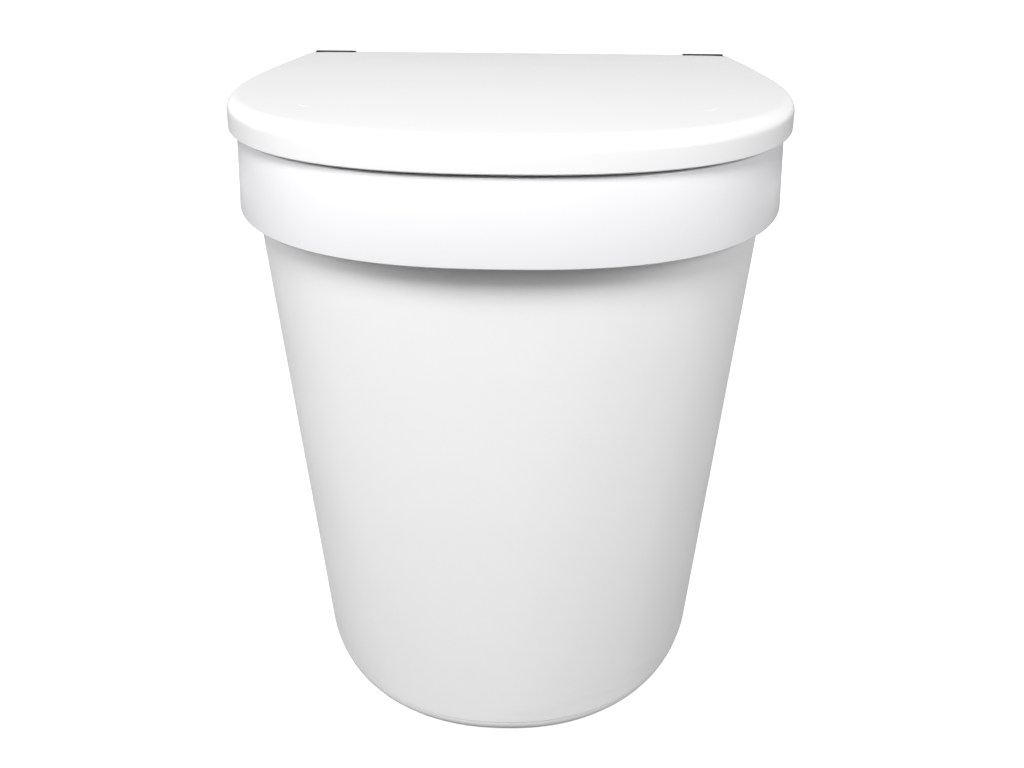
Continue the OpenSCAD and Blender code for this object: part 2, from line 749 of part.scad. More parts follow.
casing();
foot(-1, pad_front_y);  // foot_front_left
foot(1, pad_front_y);  // foot_front_right
foot(-1, pad_rear_y);  // foot_rear_left
foot(1, pad_rear_y);  // foot_rear_right
seat_collar();
rim_seal();
diverter();
diverter_screws();
strainer();
mirror([1, 0, 0]) hinge_block();  // hinge_block_left
hinge_block();  // hinge_block_right
mirror([1, 0, 0]) hinge_pin();  // hinge_pin_left
hinge_pin();  // hinge_pin_right
hinge_screws();
lid();
lid_buffer(-1, buffer_front_y);  // buffer_front_left
lid_buffer(1, buffer_front_y);  // buffer_front_right
lid_buffer(-1, buffer_rear_y);  // buffer_rear_left
lid_buffer(1, buffer_rear_y);  // buffer_rear_right
solids_bucket();
bail_wire();
bail_grip();
urine_canister();
canister_cap();
cap_seal();
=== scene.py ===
import math
import bpy
import bmesh
from mathutils import Matrix, Vector


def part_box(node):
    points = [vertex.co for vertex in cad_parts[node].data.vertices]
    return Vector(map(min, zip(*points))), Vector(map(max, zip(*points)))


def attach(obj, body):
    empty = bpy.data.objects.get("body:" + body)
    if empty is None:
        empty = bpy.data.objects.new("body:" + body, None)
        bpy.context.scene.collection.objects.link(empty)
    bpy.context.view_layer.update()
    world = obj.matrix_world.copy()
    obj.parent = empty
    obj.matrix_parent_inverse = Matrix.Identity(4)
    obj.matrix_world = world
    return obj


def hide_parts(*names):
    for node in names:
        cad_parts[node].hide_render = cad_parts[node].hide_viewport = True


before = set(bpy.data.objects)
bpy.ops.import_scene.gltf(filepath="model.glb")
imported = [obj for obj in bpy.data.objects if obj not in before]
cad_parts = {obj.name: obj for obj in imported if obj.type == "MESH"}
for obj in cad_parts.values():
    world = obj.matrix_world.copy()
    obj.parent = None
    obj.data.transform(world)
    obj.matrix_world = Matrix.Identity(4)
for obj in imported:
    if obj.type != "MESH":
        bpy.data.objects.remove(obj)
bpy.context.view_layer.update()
bpy.ops.object.select_all(action="DESELECT")
print("frame loaded:", len(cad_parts), "nodes")

# places that the frame gives
lidLow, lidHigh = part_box("lid")
collarLow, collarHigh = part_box("seat_collar")
casingLow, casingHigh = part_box("casing")
bucketLow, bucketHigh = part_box("solids_bucket")
canisterLow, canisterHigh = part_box("urine_canister")
capLow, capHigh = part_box("canister_cap")
diverterLow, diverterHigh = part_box("diverter")
strainerLow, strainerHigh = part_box("strainer")
gripLow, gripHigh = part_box("bail_grip")
blockLow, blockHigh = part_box("hinge_block_right")
pinLow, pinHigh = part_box("hinge_pin_right")
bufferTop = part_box("buffer_front_right")[1].z
bufferPlaces = []
for nodeName in ("buffer_front_left", "buffer_front_right", "buffer_rear_left", "buffer_rear_right"):
    low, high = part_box(nodeName)
    bufferPlaces.append(((low.x + high.x) / 2, (low.y + high.y) / 2))


# small helpers
def activate(piece):
    if bpy.context.object and bpy.context.object.mode != "OBJECT":
        bpy.ops.object.mode_set(mode="OBJECT")
    bpy.ops.object.select_all(action="DESELECT")
    piece.select_set(True)
    bpy.context.view_layer.objects.active = piece


def settle(piece, smoothAngle=38):
    # object to the origin, its place in its mesh, smooth apart from crisp edges
    activate(piece)
    bpy.ops.object.transform_apply(location=True, rotation=True, scale=True)
    bpy.ops.object.shade_smooth_by_angle(angle=math.radians(smoothAngle))
    return piece


def loft(name, rings):
    # a circle is shaped to the first ring, then extruded and shaped ring by ring
    bpy.ops.object.select_all(action="DESELECT")
    bpy.ops.mesh.primitive_circle_add(vertices=len(rings[0]), radius=0.1)
    piece = bpy.context.object
    piece.name = name
    bpy.ops.object.mode_set(mode="EDIT")
    mesh = bmesh.from_edit_mesh(piece.data)
    mesh.verts.ensure_lookup_table()
    loop = list(range(len(rings[0])))
    for index, point in zip(loop, rings[0]):
        mesh.verts[index].co = point
    for ring in rings[1:]:
        bpy.ops.mesh.extrude_region_move()
        mesh = bmesh.from_edit_mesh(piece.data)
        mesh.verts.ensure_lookup_table()
        mesh.verts.index_update()
        fresh = []
        for index in loop:
            vertex = mesh.verts[index]
            ends = [edge.other_vert(vertex) for edge in vertex.link_edges]
            fresh.append(next(end.index for end in ends if end.select))
        for index, point in zip(fresh, ring):
            mesh.verts[index].co = point
        loop = fresh
    bmesh.update_edit_mesh(piece.data)
    bpy.ops.mesh.select_all(action="SELECT")
    bpy.ops.mesh.remove_doubles(threshold=0.000002)
    bpy.ops.mesh.normals_make_consistent(inside=False)
    bpy.ops.object.mode_set(mode="OBJECT")
    return piece


def level(points, height):
    return [(x, y, height) for x, y in points]


def roundedPath(corners, steps=4, closed=False):
    # corners are (inset, height, radius); an arc stands in for each corner that has a radius
    path = []
    for i, (inset, height, radius) in enumerate(corners):
        here = Vector((inset, height))
        if radius == 0:
            path.append((here.x, here.y))
            continue
        towardsLast = (Vector(corners[i - 1][:2]) - here).normalized()
        towardsNext = (Vector(corners[(i + 1) % len(corners)][:2]) - here).normalized()
        half = towardsLast.angle(towardsNext) / 2
        centre = here + (towardsLast + towardsNext).normalized() * radius / math.sin(half)
        start = here + towardsLast * radius / math.tan(half) - centre
        end = here + towardsNext * radius / math.tan(half) - centre
        for step in range(steps + 1):
            arm = start.slerp(end, step / steps).normalized() * radius
            path.append((centre.x + arm.x, centre.y + arm.y))
    if closed:
        path.append(path[0])
    return path


def merge(piece, other, operation):
    # boolean of two solids; the other one is used up
    activate(piece)
    bpy.ops.object.modifier_add(type="BOOLEAN")
    modifier = piece.modifiers[-1]
    modifier.operation = operation
    modifier.solver = "EXACT"
    modifier.object = other
    bpy.ops.object.modifier_apply(modifier=modifier.name)
    bpy.data.objects.remove(other)
    return piece


def soften(piece, width, segments=3, angle=40):
    activate(piece)
    bpy.ops.object.modifier_add(type="BEVEL")
    modifier = piece.modifiers[-1]
    modifier.width = width
    modifier.segments = segments
    modifier.limit_method = "ANGLE"
    modifier.angle_limit = math.radians(angle)
    modifier.use_clamp_overlap = True
    bpy.ops.object.modifier_apply(modifier=modifier.name)
    return piece


def block(name, low, high):
    bpy.ops.object.select_all(action="DESELECT")
    centre = [(a + b) / 2 for a, b in zip(low, high)]
    size = [b - a for a, b in zip(low, high)]
    bpy.ops.mesh.primitive_cube_add(size=1, location=centre, scale=size)
    piece = bpy.context.object
    piece.name = name
    bpy.ops.object.transform_apply(location=True, rotation=True, scale=True)
    return piece


def rod(name, start, axis, length, radius, vertices=64):
    # cylinder from start along axis, which is "X", "Y" or "Z"
    turn = {"X": (0, math.pi / 2, 0), "Y": (-math.pi / 2, 0, 0), "Z": (0, 0, 0)}[axis]
    step = {"X": (1, 0, 0), "Y": (0, 1, 0), "Z": (0, 0, 1)}[axis]
    centre = [s + d * length / 2 for s, d in zip(start, step)]
    bpy.ops.object.select_all(action="DESELECT")
    bpy.ops.mesh.primitive_cylinder_add(vertices=vertices, radius=radius, depth=length,
                                        location=centre, rotation=turn)
    piece = bpy.context.object
    piece.name = name
    bpy.ops.object.transform_apply(location=True, rotation=True, scale=True)
    return piece


def lathe(name, profile, centre, steps=64):
    # profile of (radius, height) spun about a vertical line through centre
    rings = []
    for radius, height in profile:
        turns = [2 * math.pi * i / steps for i in range(steps)]
        rings.append([(centre[0] + radius * math.cos(t), centre[1] + radius * math.sin(t), height)
                      for t in turns])
    return loft(name, rings)


def joinAll(name, pieces):
    activate(pieces[0])
    for piece in pieces[1:]:
        piece.select_set(True)
    bpy.ops.object.join()
    bpy.context.object.name = name
    return bpy.context.object


def mirroredCopy(piece, name):
    # a copy on the other side, with its own mesh and its faces turned back outwards
    activate(piece)
    bpy.ops.object.duplicate()
    copy = bpy.context.object
    copy.name = name
    copy.scale.x = -1
    bpy.ops.object.transform_apply(location=True, rotation=True, scale=True)
    bpy.ops.object.mode_set(mode="EDIT")
    bpy.ops.mesh.select_all(action="SELECT")
    bpy.ops.mesh.normals_make_consistent(inside=False)
    bpy.ops.object.mode_set(mode="OBJECT")
    return copy


def dress(piece, finish, body, slot, *nodes):
    settle(piece)
    piece.data.materials.clear()
    piece.data.materials.append(finish)
    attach(piece, body)
    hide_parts(*nodes)
    return piece


# finishes; roughness is 0.28 or more, because the denoiser draws patches where it crosses 0.274
noiseMiddle = (0.3, 0.7)    # where most of a noise's values lie


def startFinish(name):
    finish = bpy.data.materials.new(name)
    finish.use_nodes = True
    nodes = finish.node_tree.nodes
    return finish, nodes, finish.node_tree.links, nodes["Principled BSDF"]


def noiseOn(nodes, links, place, scale, detail=2.0, stretch=None):
    if stretch:
        mapping = nodes.new("ShaderNodeMapping")
        mapping.inputs["Scale"].default_value = stretch
        links.new(place, mapping.inputs["Vector"])
        place = mapping.outputs["Vector"]
    noise = nodes.new("ShaderNodeTexNoise")
    noise.inputs["Scale"].default_value = scale
    noise.inputs["Detail"].default_value = detail
    links.new(place, noise.inputs["Vector"])
    return noise.outputs["Fac"]


def spread(nodes, links, value, low, high, outLow, outHigh):
    ranged = nodes.new("ShaderNodeMapRange")
    ranged.inputs["From Min"].default_value = low
    ranged.inputs["From Max"].default_value = high
    ranged.inputs["To Min"].default_value = outLow
    ranged.inputs["To Max"].default_value = outHigh
    links.new(value, ranged.inputs["Value"])
    return ranged.outputs["Result"]


def mixTone(nodes, links, factor, first, second):
    mix = nodes.new("ShaderNodeMix")
    mix.data_type = "RGBA"
    links.new(factor, mix.inputs["Factor"])
    for socket, tone in ((mix.inputs[6], first), (mix.inputs[7], second)):
        if isinstance(tone, tuple):
            socket.default_value = (*tone, 1)
        else:
            links.new(tone, socket)
    return mix.outputs[2]


def bumpOn(nodes, links, height, strength, distance, normal=None):
    bump = nodes.new("ShaderNodeBump")
    bump.inputs["Strength"].default_value = strength
    bump.inputs["Distance"].default_value = distance
    links.new(height, bump.inputs["Height"])
    if normal:
        links.new(normal, bump.inputs["Normal"])
    return bump.outputs["Normal"]


def mouldedPlastic(values):
    finish, nodes, links, shader = startFinish(values["name"])
    place = nodes.new("ShaderNodeTexCoord").outputs["Object"]
    cloud = noiseOn(nodes, links, place, values["cloudScale"], 3)
    share = spread(nodes, links, cloud, *noiseMiddle, 0, 1)
    tone = mixTone(nodes, links, share, values["color"], values["shade"])
    if values.get("scuffHeight"):
        # faint scuffs that fade out above the floor
        height = nodes.new("ShaderNodeSeparateXYZ")
        links.new(place, height.inputs["Vector"])
        low = spread(nodes, links, height.outputs["Z"], 0, values["scuffHeight"], 1, 0)
        streaks = noiseOn(nodes, links, place, 14, 6, (1, 1, 5))
        rubbed = spread(nodes, links, streaks, 0.52, 0.72, 0, values["scuffDepth"])
        both = nodes.new("ShaderNodeMath")
        both.operation = "MULTIPLY"
        links.new(low, both.inputs[0])
        links.new(rubbed, both.inputs[1])
        tone = mixTone(nodes, links, both.outputs["Value"], tone, values["scuffColor"])
    if values.get("shadedTopTone"):
        # painted shade: a darker tone above a height, so that a top the lamps wash out reads darker
        height = nodes.new("ShaderNodeSeparateXYZ")
        links.new(place, height.inputs["Vector"])
        high = spread(nodes, links, height.outputs["Z"], *values["shadedTopHeights"], 0, 1)
        tone = mixTone(nodes, links, high, tone, values["shadedTopTone"])
    links.new(tone, shader.inputs["Base Color"])
    patches = noiseOn(nodes, links, place, values["cloudScale"] * 3, 4)
    low, high = values["roughness"]
    links.new(spread(nodes, links, patches, *noiseMiddle, low, high), shader.inputs["Roughness"])
    wave = bumpOn(nodes, links, noiseOn(nodes, links, place, values["waveScale"], 1),
                  values["waveDepth"], 0.001)
    grain = bumpOn(nodes, links, noiseOn(nodes, links, place, values["grainScale"], 2),
                   values["grainDepth"], 0.0004, wave)
    links.new(grain, shader.inputs["Normal"])
    shader.inputs["Specular IOR Level"].default_value = values.get("specular", 0.5)
    shader.inputs["Coat Weight"].default_value = values.get("coat", 0)
    shader.inputs["Coat Roughness"].default_value = 0.15
    shader.inputs["Subsurface Weight"].default_value = values.get("glow", 0)
    shader.inputs["Subsurface Scale"].default_value = 0.004
    return finish


def brushedMetal(values):
    finish, nodes, links, shader = startFinish(values["name"])
    place = nodes.new("ShaderNodeTexCoord").outputs["Object"]
    cloud = noiseOn(nodes, links, place, 40, 2)
    links.new(mixTone(nodes, links, cloud, values["color"], values["shade"]), shader.inputs["Base Color"])
    streaks = noiseOn(nodes, links, place, 300, 2, values["stretch"])
    low, high = values["roughness"]
    links.new(spread(nodes, links, streaks, *noiseMiddle, low, high), shader.inputs["Roughness"])
    links.new(bumpOn(nodes, links, streaks, 0.15, 0.0002), shader.inputs["Normal"])
    shader.inputs["Metallic"].default_value = 1
    return finish


finishes = {
    "casing": mouldedPlastic({
        "name": "whiteCasingPlastic", "color": (0.89, 0.89, 0.888), "shade": (0.872, 0.872, 0.87),
        "cloudScale": 5, "roughness": (0.34, 0.44), "waveScale": 55, "waveDepth": 0.10,
        "grainScale": 1500, "grainDepth": 0.14, "specular": 0.45,
        "scuffHeight": 0.05, "scuffDepth": 0.16, "scuffColor": (0.52, 0.51, 0.48)}),
    "collar": mouldedPlastic({
        "name": "whiteCollarPlastic", "color": (0.835, 0.838, 0.848), "shade": (0.82, 0.823, 0.833),
        "cloudScale": 6, "roughness": (0.285, 0.345), "waveScale": 60, "waveDepth": 0.03,
        "grainScale": 1700, "grainDepth": 0.02, "specular": 0.5, "coat": 0.12,
        # painted shade on the seat's top: a darker tone above the ledge
        "shadedTopHeights": (0.4225, 0.4265), "shadedTopTone": (0.735, 0.738, 0.742)}),
    "lid": mouldedPlastic({
        "name": "whiteLidPlastic", "color": (0.83, 0.83, 0.832), "shade": (0.812, 0.812, 0.812),
        "cloudScale": 6, "roughness": (0.28, 0.335), "waveScale": 50, "waveDepth": 0.02,
        "grainScale": 1700, "grainDepth": 0.008, "specular": 0.4, "coat": 0.1}),
    # the lid's underside: a real matte finish, with painted shade in its darker tone
    "lidInsideShaded": mouldedPlastic({
        "name": "whiteLidInsideMattePaintedShade", "color": (0.70, 0.703, 0.708), "shade": (0.68, 0.683, 0.687),
        "cloudScale": 6, "roughness": (0.38, 0.48), "waveScale": 50, "waveDepth": 0.04,
        "grainScale": 1500, "grainDepth": 0.08, "specular": 0.4, "glow": 0.05}),
    "insert": mouldedPlastic({
        "name": "paleGreyInsertPlastic", "color": (0.60, 0.61, 0.61), "shade": (0.57, 0.58, 0.585),
        "cloudScale": 8, "roughness": (0.28, 0.36), "waveScale": 70, "waveDepth": 0.08,
        "grainScale": 1600, "grainDepth": 0.06, "coat": 0.15, "glow": 0.04}),
    "bucket": mouldedPlastic({
        "name": "greyBucketPlastic", "color": (0.19, 0.20, 0.205), "shade": (0.165, 0.175, 0.18),
        "cloudScale": 7, "roughness": (0.40, 0.52), "waveScale": 60, "waveDepth": 0.10,
        "grainScale": 1100, "grainDepth": 0.25}),
    "canister": mouldedPlastic({
        "name": "milkyCanisterPlastic", "color": (0.72, 0.73, 0.70), "shade": (0.67, 0.685, 0.65),
        "cloudScale": 11, "roughness": (0.34, 0.46), "waveScale": 90, "waveDepth": 0.22,
        "grainScale": 900, "grainDepth": 0.16, "glow": 0.25}),
    "black": mouldedPlastic({
        "name": "blackNylon", "color": (0.022, 0.024, 0.026), "shade": (0.016, 0.018, 0.020),
        "cloudScale": 60, "roughness": (0.52, 0.66), "waveScale": 300, "waveDepth": 0.10,
        "grainScale": 2600, "grainDepth": 0.30, "specular": 0.08}),
    "rubber": mouldedPlastic({
        "name": "greyRubber", "color": (0.055, 0.056, 0.058), "shade": (0.042, 0.043, 0.045),
        "cloudScale": 50, "roughness": (0.62, 0.78), "waveScale": 200, "waveDepth": 0.12,
        "grainScale": 2200, "grainDepth": 0.30, "specular": 0.35}),
    "foam": mouldedPlastic({
        "name": "closedCellFoam", "color": (0.030, 0.030, 0.031), "shade": (0.060, 0.060, 0.062),
        "cloudScale": 260, "roughness": (0.80, 0.95), "waveScale": 420, "waveDepth": 0.6,
        "grainScale": 1500, "grainDepth": 0.8, "specular": 0.2}),
    "steel": brushedMetal({
        "name": "stainlessSteel", "color": (0.60, 0.60, 0.61), "shade": (0.50, 0.50, 0.51),
        "roughness": (0.285, 0.39), "stretch": (0.15, 1, 1)}),
}
print("finishes made:", len(finishes))


# plan of the lid, collar and casing
plan = {
    "frontDepth": 0.291,     # widest line to the front
    "frontSquareness": 2.45,
    "sideDraw": 0.005,
    "cornerRadius": 0.016,
    "leastCorner": 0.008,    # however far in an outline lies
    "frontSteps": 44,
    "sideSteps": 12,
    "cornerSteps": 9,
    "backSteps": 9,
}
halfWidth = lidHigh.x
widestY = lidLow.y + plan["frontDepth"]
rearDepth = lidHigh.y - widestY


def halfOutline(width, front, back, squareness, draw, corner):
    points = []
    for i in range(plan["frontSteps"] + 1):
        t = math.pi / 2 * i / plan["frontSteps"]
        x = width * math.sin(t) ** (2 / squareness)
        points.append((x, -front * max(math.cos(t), 0) ** (2 / squareness)))
    lastY = back - corner
    for i in range(1, plan["sideSteps"] + 1):
        y = lastY * i / plan["sideSteps"]
        points.append((width - draw * (y / back) ** 2, y))
    cornerX = width - draw * (lastY / back) ** 2 - corner
    for i in range(1, plan["cornerSteps"] + 1):
        t = math.pi / 2 * i / plan["cornerSteps"]
        points.append((cornerX + corner * math.cos(t), lastY + corner * math.sin(t)))
    for i in range(1, plan["backSteps"] + 1):
        points.append((cornerX * (1 - i / plan["backSteps"]), back))
    return points


def wholeOutline(half, middleY):
    right = [(x, y + middleY) for x, y in half]
    return right + [(-x, y) for x, y in reversed(right[1:-1])]


def outlineIn(side, front, back, squareness):
    corner = max(plan["cornerRadius"] - back / 2, plan["leastCorner"])
    half = halfOutline(halfWidth - side, plan["frontDepth"] - front, rearDepth - back,
                       squareness, plan["sideDraw"], corner)
    return wholeOutline(half, widestY)


def lidOutline(inset):
    return outlineIn(inset, inset, inset, plan["frontSquareness"])


# casing
casingValues = {
    "wall": 0.003,
    "rimIn": 0.014,
    "rimSquareness": 2.7,
    "footIn": 0.042,
    "footFrontIn": 0.062,
    "footSquareness": 2.2,
    "footRadius": 0.010,
    "seamHeight": 0.0115,    # fine step round the foot, above its lower edge
    "seamDepth": 0.0004,
    "flangeIn": 0.0097,      # turned-out rim, in from the lid's plan
    "rimEdge": 0.0006,
    "levels": 16,
    "padRadius": 0.016,
    "padX": 0.100,
    "padY": (-0.080, 0.125),
    "padRecess": 0.001,
    "padGap": 0.0002,
    "ribHalf": 0.075,        # low rib across the floor, between the two containers
    "ribY": (-0.0255, -0.0225),
    "ribHeight": 0.014,
    "middleFront": 0.020,    # middle of the floor, in front of the widest line
    "panelShare": 0.9,       # shallow panel under the floor, of the floor's width
    "panelDepth": 0.0008,
}
footZ = casingLow.z
rimZ = casingHigh.z


def casingOutline(height, inset):
    share = (height - footZ) / (rimZ - footZ)
    v = casingValues
    side = v["footIn"] + (v["rimIn"] - v["footIn"]) * share + inset
    front = v["footFrontIn"] + (v["rimIn"] - v["footFrontIn"]) * share + inset
    squareness = v["footSquareness"] + (v["rimSquareness"] - v["footSquareness"]) * share
    return outlineIn(side, front, side, squareness)


def between(first, second, share):
    # from the first ring of points to the second, point by point
    pairs = zip(first, second)
    return [(a[0] * (1 - share) + b[0] * share, a[1] * (1 - share) + b[1] * share) for a, b in pairs]


def shrunk(points, share, middle):
    return [(x * share + middle[0] * (1 - share), y * share + middle[1] * (1 - share)) for x, y in points]


def makeCasing():
    v = casingValues
    wall, radius = v["wall"], v["footRadius"]
    middle = (0, widestY - v["middleFront"])
    floorEdge = casingOutline(footZ, radius)
    rings = [level([middle] * len(floorEdge), footZ + v["panelDepth"])]
    for share in (0.25, 0.5, 0.75, v["panelShare"]):
        rings.append(level(shrunk(floorEdge, share, middle), footZ + v["panelDepth"]))
    rings.append(level(shrunk(floorEdge, v["panelShare"] + 0.01, middle), footZ))
    for i in range(9):                      # rounded foot
        t = math.pi / 2 * i / 8
        height = footZ + radius * (1 - math.cos(t))
        inset = radius * (1 - math.sin(t)) + v["seamDepth"] * math.sin(t)
        rings.append(level(casingOutline(height, inset), height))
    # both sides of the step's edge are held flat by close rings
    for rise, inset in ((-0.0006, v["seamDepth"]), (0, v["seamDepth"]), (0, 0.0001), (0.0002, 0),
                        (0.0008, 0), (0.003, 0)):
        height = footZ + v["seamHeight"] + rise
        rings.append(level(casingOutline(height, inset), height))
    top = rimZ - wall
    for i in range(1, v["levels"]):
        height = footZ + radius + (top - 0.002 - footZ - radius) * i / (v["levels"] - 1)
        rings.append(level(casingOutline(height, 0), height))
    rim = casingOutline(rimZ, 0)
    flange = lidOutline(v["flangeIn"])
    for share, drop in ((0.08, 0.0005), (0.3, 0), (0.9, 0), (1, -0.0005)):   # rim turned outwards
        rings.append(level(between(rim, flange, share), top - drop))
    edge = v["rimEdge"]
    rings.append(level(flange, rimZ - edge))
    rings.append(level(lidOutline(v["flangeIn"] + edge), rimZ))
    rings.append(level(casingOutline(rimZ, wall - edge), rimZ))
    rings.append(level(casingOutline(rimZ - edge, wall), rimZ - edge))
    for i in range(v["levels"] - 1, -1, -1):
        height = footZ + radius + (rimZ - 0.004 - footZ - radius) * i / (v["levels"] - 1)
        rings.append(level(casingOutline(height, wall), height))
    inner = radius - wall
    for i in range(6, -1, -1):
        t = math.pi / 2 * i / 7
        height = footZ + wall + inner * (1 - math.cos(t))
        rings.append(level(casingOutline(height, wall + inner * (1 - math.sin(t))), height))
    insideEdge = casingOutline(footZ + wall, wall + inner)
    for share in (0.75, 0.4, 0):
        rings.append(level(shrunk(insideEdge, share, middle), footZ + wall))
    casing = loft("casingShell", rings)
    for y in v["padY"]:
        for x in (-v["padX"], v["padX"]):
            depth = 0.01 + footZ + v["padRecess"]
            recess = rod("recess", (x, y, -0.01), "Z", depth, v["padRadius"] + v["padGap"])
            merge(casing, recess, "DIFFERENCE")
    ribFront, ribBack = v["ribY"]
    rib = block("rib", (-v["ribHalf"], ribFront, footZ + 0.001),
                (v["ribHalf"], ribBack, footZ + wall + v["ribHeight"]))
    soften(rib, 0.0008, 2)
    merge(casing, rib, "UNION")
    return casing


casingShell = makeCasing()
dress(casingShell, finishes["casing"], "casing", "white_shell", "casing")
print("casing done")


# collar and seat
collarValues = {
    "in": 0.0055,            # at the ledge
    "flare": 0.0025,         # further out at the lower edge
    "frontLean": 0.0023,     # the front stays upright where the sides flare
    "wall": 0.003,
    "edge": 0.0008,
    "topEdge": 0.0015,
    "ledge": 0.011,
    "backLedge": 0.040,
    "baseCorner": 0.040,
    "openWidth": 0.112,
    "openFront": 0.143,
    "openBack": 0.130,
    "openY": -0.025,
    "crest": 0.30,           # where the seat is highest, of the way from ledge to opening
    "end": 0.95,
    "lipTop": 0.002,         # below the ledge
    "lipDepth": 0.011,
    "shares": (0.012, 0.03, 0.055, 0.085, 0.12, 0.16, 0.21, 0.26, 0.31, 0.37, 0.43, 0.50,
               0.57, 0.64, 0.71, 0.78, 0.84, 0.89, 0.925, 0.95),   # rings of the seat, closer where it bends
}
ledgeZ = blockLow.z
seatRise = collarHigh.z - ledgeZ
lipZ = ledgeZ - collarValues["lipDepth"]


def seatBase(inset):
    v = collarValues
    half = halfOutline(halfWidth - v["ledge"] - inset, plan["frontDepth"] - v["ledge"] - inset,
                       rearDepth - v["backLedge"] - inset, plan["frontSquareness"], plan["sideDraw"],
                       v["baseCorner"])
    return wholeOutline(half, widestY)


def ovalRadius(width, front, back, squareness, angle):
    depth = front if math.sin(angle) < 0 else back
    total = abs(math.cos(angle) / width) ** squareness + abs(math.sin(angle) / depth) ** squareness
    return total ** (-1 / squareness)


def openingFacing(outline, grow):
    # a point of the opening in the direction of each point of the outline
    v = collarValues
    ring = []
    for x, y in outline:
        angle = math.atan2(y - v["openY"], x)
        radius = ovalRadius(v["openWidth"] + grow, v["openFront"] + grow, v["openBack"] + grow, 2, angle)
        ring.append((radius * math.cos(angle), v["openY"] + radius * math.sin(angle)))
    return ring


def seatHeight(share):
    crest, end = collarValues["crest"], collarValues["end"]
    if share < crest:
        return math.sqrt(max(0, 1 - ((crest - share) / crest) ** 2.3))
    return max(0, 1 - ((share - crest) / (end - crest)) ** 2)


def seatRings(inset, drop):
    base = seatBase(inset)
    hole = openingFacing(base, inset)
    rings = []
    for share in collarValues["shares"]:
        rings.append(level(between(base, hole, share), ledgeZ + seatRise * seatHeight(share) - drop))
    return rings


def skirtRing(inset, height):
    lean = collarValues["frontLean"] * (height - collarLow.z) / (ledgeZ - collarLow.z)
    return level(outlineIn(inset, inset - lean, inset, plan["frontSquareness"]), height)


def makeSeatSection():
    v = collarValues
    wall, edge = v["wall"], v["edge"]
    low, inner = collarLow.z, ledgeZ - v["wall"]
    base, under = seatBase(0), seatBase(wall)
    hole = openingFacing(base, 0)
    foot = v["in"] - v["flare"]
    skirt = roundedPath([(foot + wall, low, edge), (foot, low, edge),
                         (v["in"], ledgeZ, v["topEdge"]), (v["in"] + 0.006, ledgeZ, 0)])[:-1]
    rings = [skirtRing(d, z) for d, z in skirt]
    rings += [level(base, ledgeZ)] + seatRings(0, 0)
    rings += [level(openingFacing(base, -0.0012), ledgeZ - 0.0004), level(hole, ledgeZ - v["lipTop"])]
    rings += [level(hole, lipZ + edge), level(openingFacing(base, edge), lipZ)]
    rings += [level(openingFacing(under, wall - edge), lipZ), level(openingFacing(under, wall), lipZ + edge)]
    rings += [level(openingFacing(under, wall), ledgeZ - v["lipTop"] - wall)]
    rings += list(reversed(seatRings(wall, wall)))
    rings += [level(under, inner), skirtRing(v["in"] + wall + 0.002, inner)]
    rings += [skirtRing(v["in"] + wall, inner - 0.002), rings[0]]
    return loft("seatSection", rings)


seatSection = makeSeatSection()
dress(seatSection, finishes["collar"], "seat_section", "white_shell", "seat_collar")

sealValues = {"outerIn": 0.0102, "innerIn": 0.0165, "height": 0.003, "edge": 0.0007}


def makeRimSeal():
    v = sealValues
    low, high = rimZ, rimZ + v["height"]
    path = roundedPath([(v["outerIn"], low, v["edge"]), (v["outerIn"], high, 0),
                        (v["innerIn"], high, 0), (v["innerIn"], low, v["edge"])], 3, closed=True)
    return loft("rimSeal", [level(lidOutline(d), z) for d, z in path])


dress(makeRimSeal(), finishes["foam"], "seat_section", "foam_rubber", "rim_seal")
print("collar, seat and seal done")


# lid
lidValues = {
    "wall": 0.0026,
    "edgeRadius": 0.009,
    "crown": 0.004,
    "lip": 0.0007,
    "notchGap": 0.0003,      # either side of a hinge block
    "notchFront": 0.0012,    # in front of a hinge block
    "backCut": 0.0045,       # back wall ends this much higher
    "knuckleRadius": 0.007,
    "knuckleWidth": 0.0107,
    "boreGap": 0.00005,
    "webLap": 0.0008,        # how far a knuckle's web, or a rib, stands into the skin
    "webRear": 0.002,
    "stemRadius": 0.009,
    "ribWidth": 0.0018,
    "ribLow": 0.4413,
    "ribsAcross": (-0.13, -0.065, 0.0, 0.065, 0.13),
    "ribsAlong": (-0.09, 0.0, 0.09),
    "ribsIn": 0.024,         # ribs end this far in from the lid's edge
    "ribsBackIn": 0.006,     # and the long ones further in at the back
    "insideRise": 0.0065,    # the inside's matte finish, darker by painted shade, starts this high over the lower edge, and this far in at the sides, the back and the front
    "insideSide": 0.0105,    # and this far in at the sides,
    "insideBack": 0.0045,    # the back
    "insideFront": 0.004,    # and the front
}
rimTop = lidHigh.z - lidValues["crown"]
pinY = (pinLow.y + pinHigh.y) / 2
pinZ = (pinLow.z + pinHigh.z) / 2
blockTopRadius = blockHigh.z - pinZ
crownEdge = lidOutline(lidValues["edgeRadius"])


def crownShare(x, y):
    # how far out a point lies, from 0 in the middle of the lid to 1 at the start of its rounded edge
    angle = math.atan2(y, x)
    nearest = min(crownEdge, key=lambda p: abs(math.remainder(math.atan2(p[1], p[0]) - angle, 2 * math.pi)))
    return math.hypot(x, y) / math.hypot(*nearest)


def lidTopRings(depth):
    v = lidValues
    radius = v["edgeRadius"] - depth
    rings = []
    for i in range(11):
        t = math.pi / 2 * i / 10
        inset = v["edgeRadius"] - radius * math.cos(t)
        rings.append(level(lidOutline(inset), rimTop - v["edgeRadius"] + radius * math.sin(t)))
    for share in (0.94, 0.86, 0.76, 0.65, 0.53, 0.40, 0.26, 0.13, 0):
        height = rimTop - depth + v["crown"] * (1 - share * share)
        rings.append(level([(x * share, y * share) for x, y in crownEdge], height))
    return rings


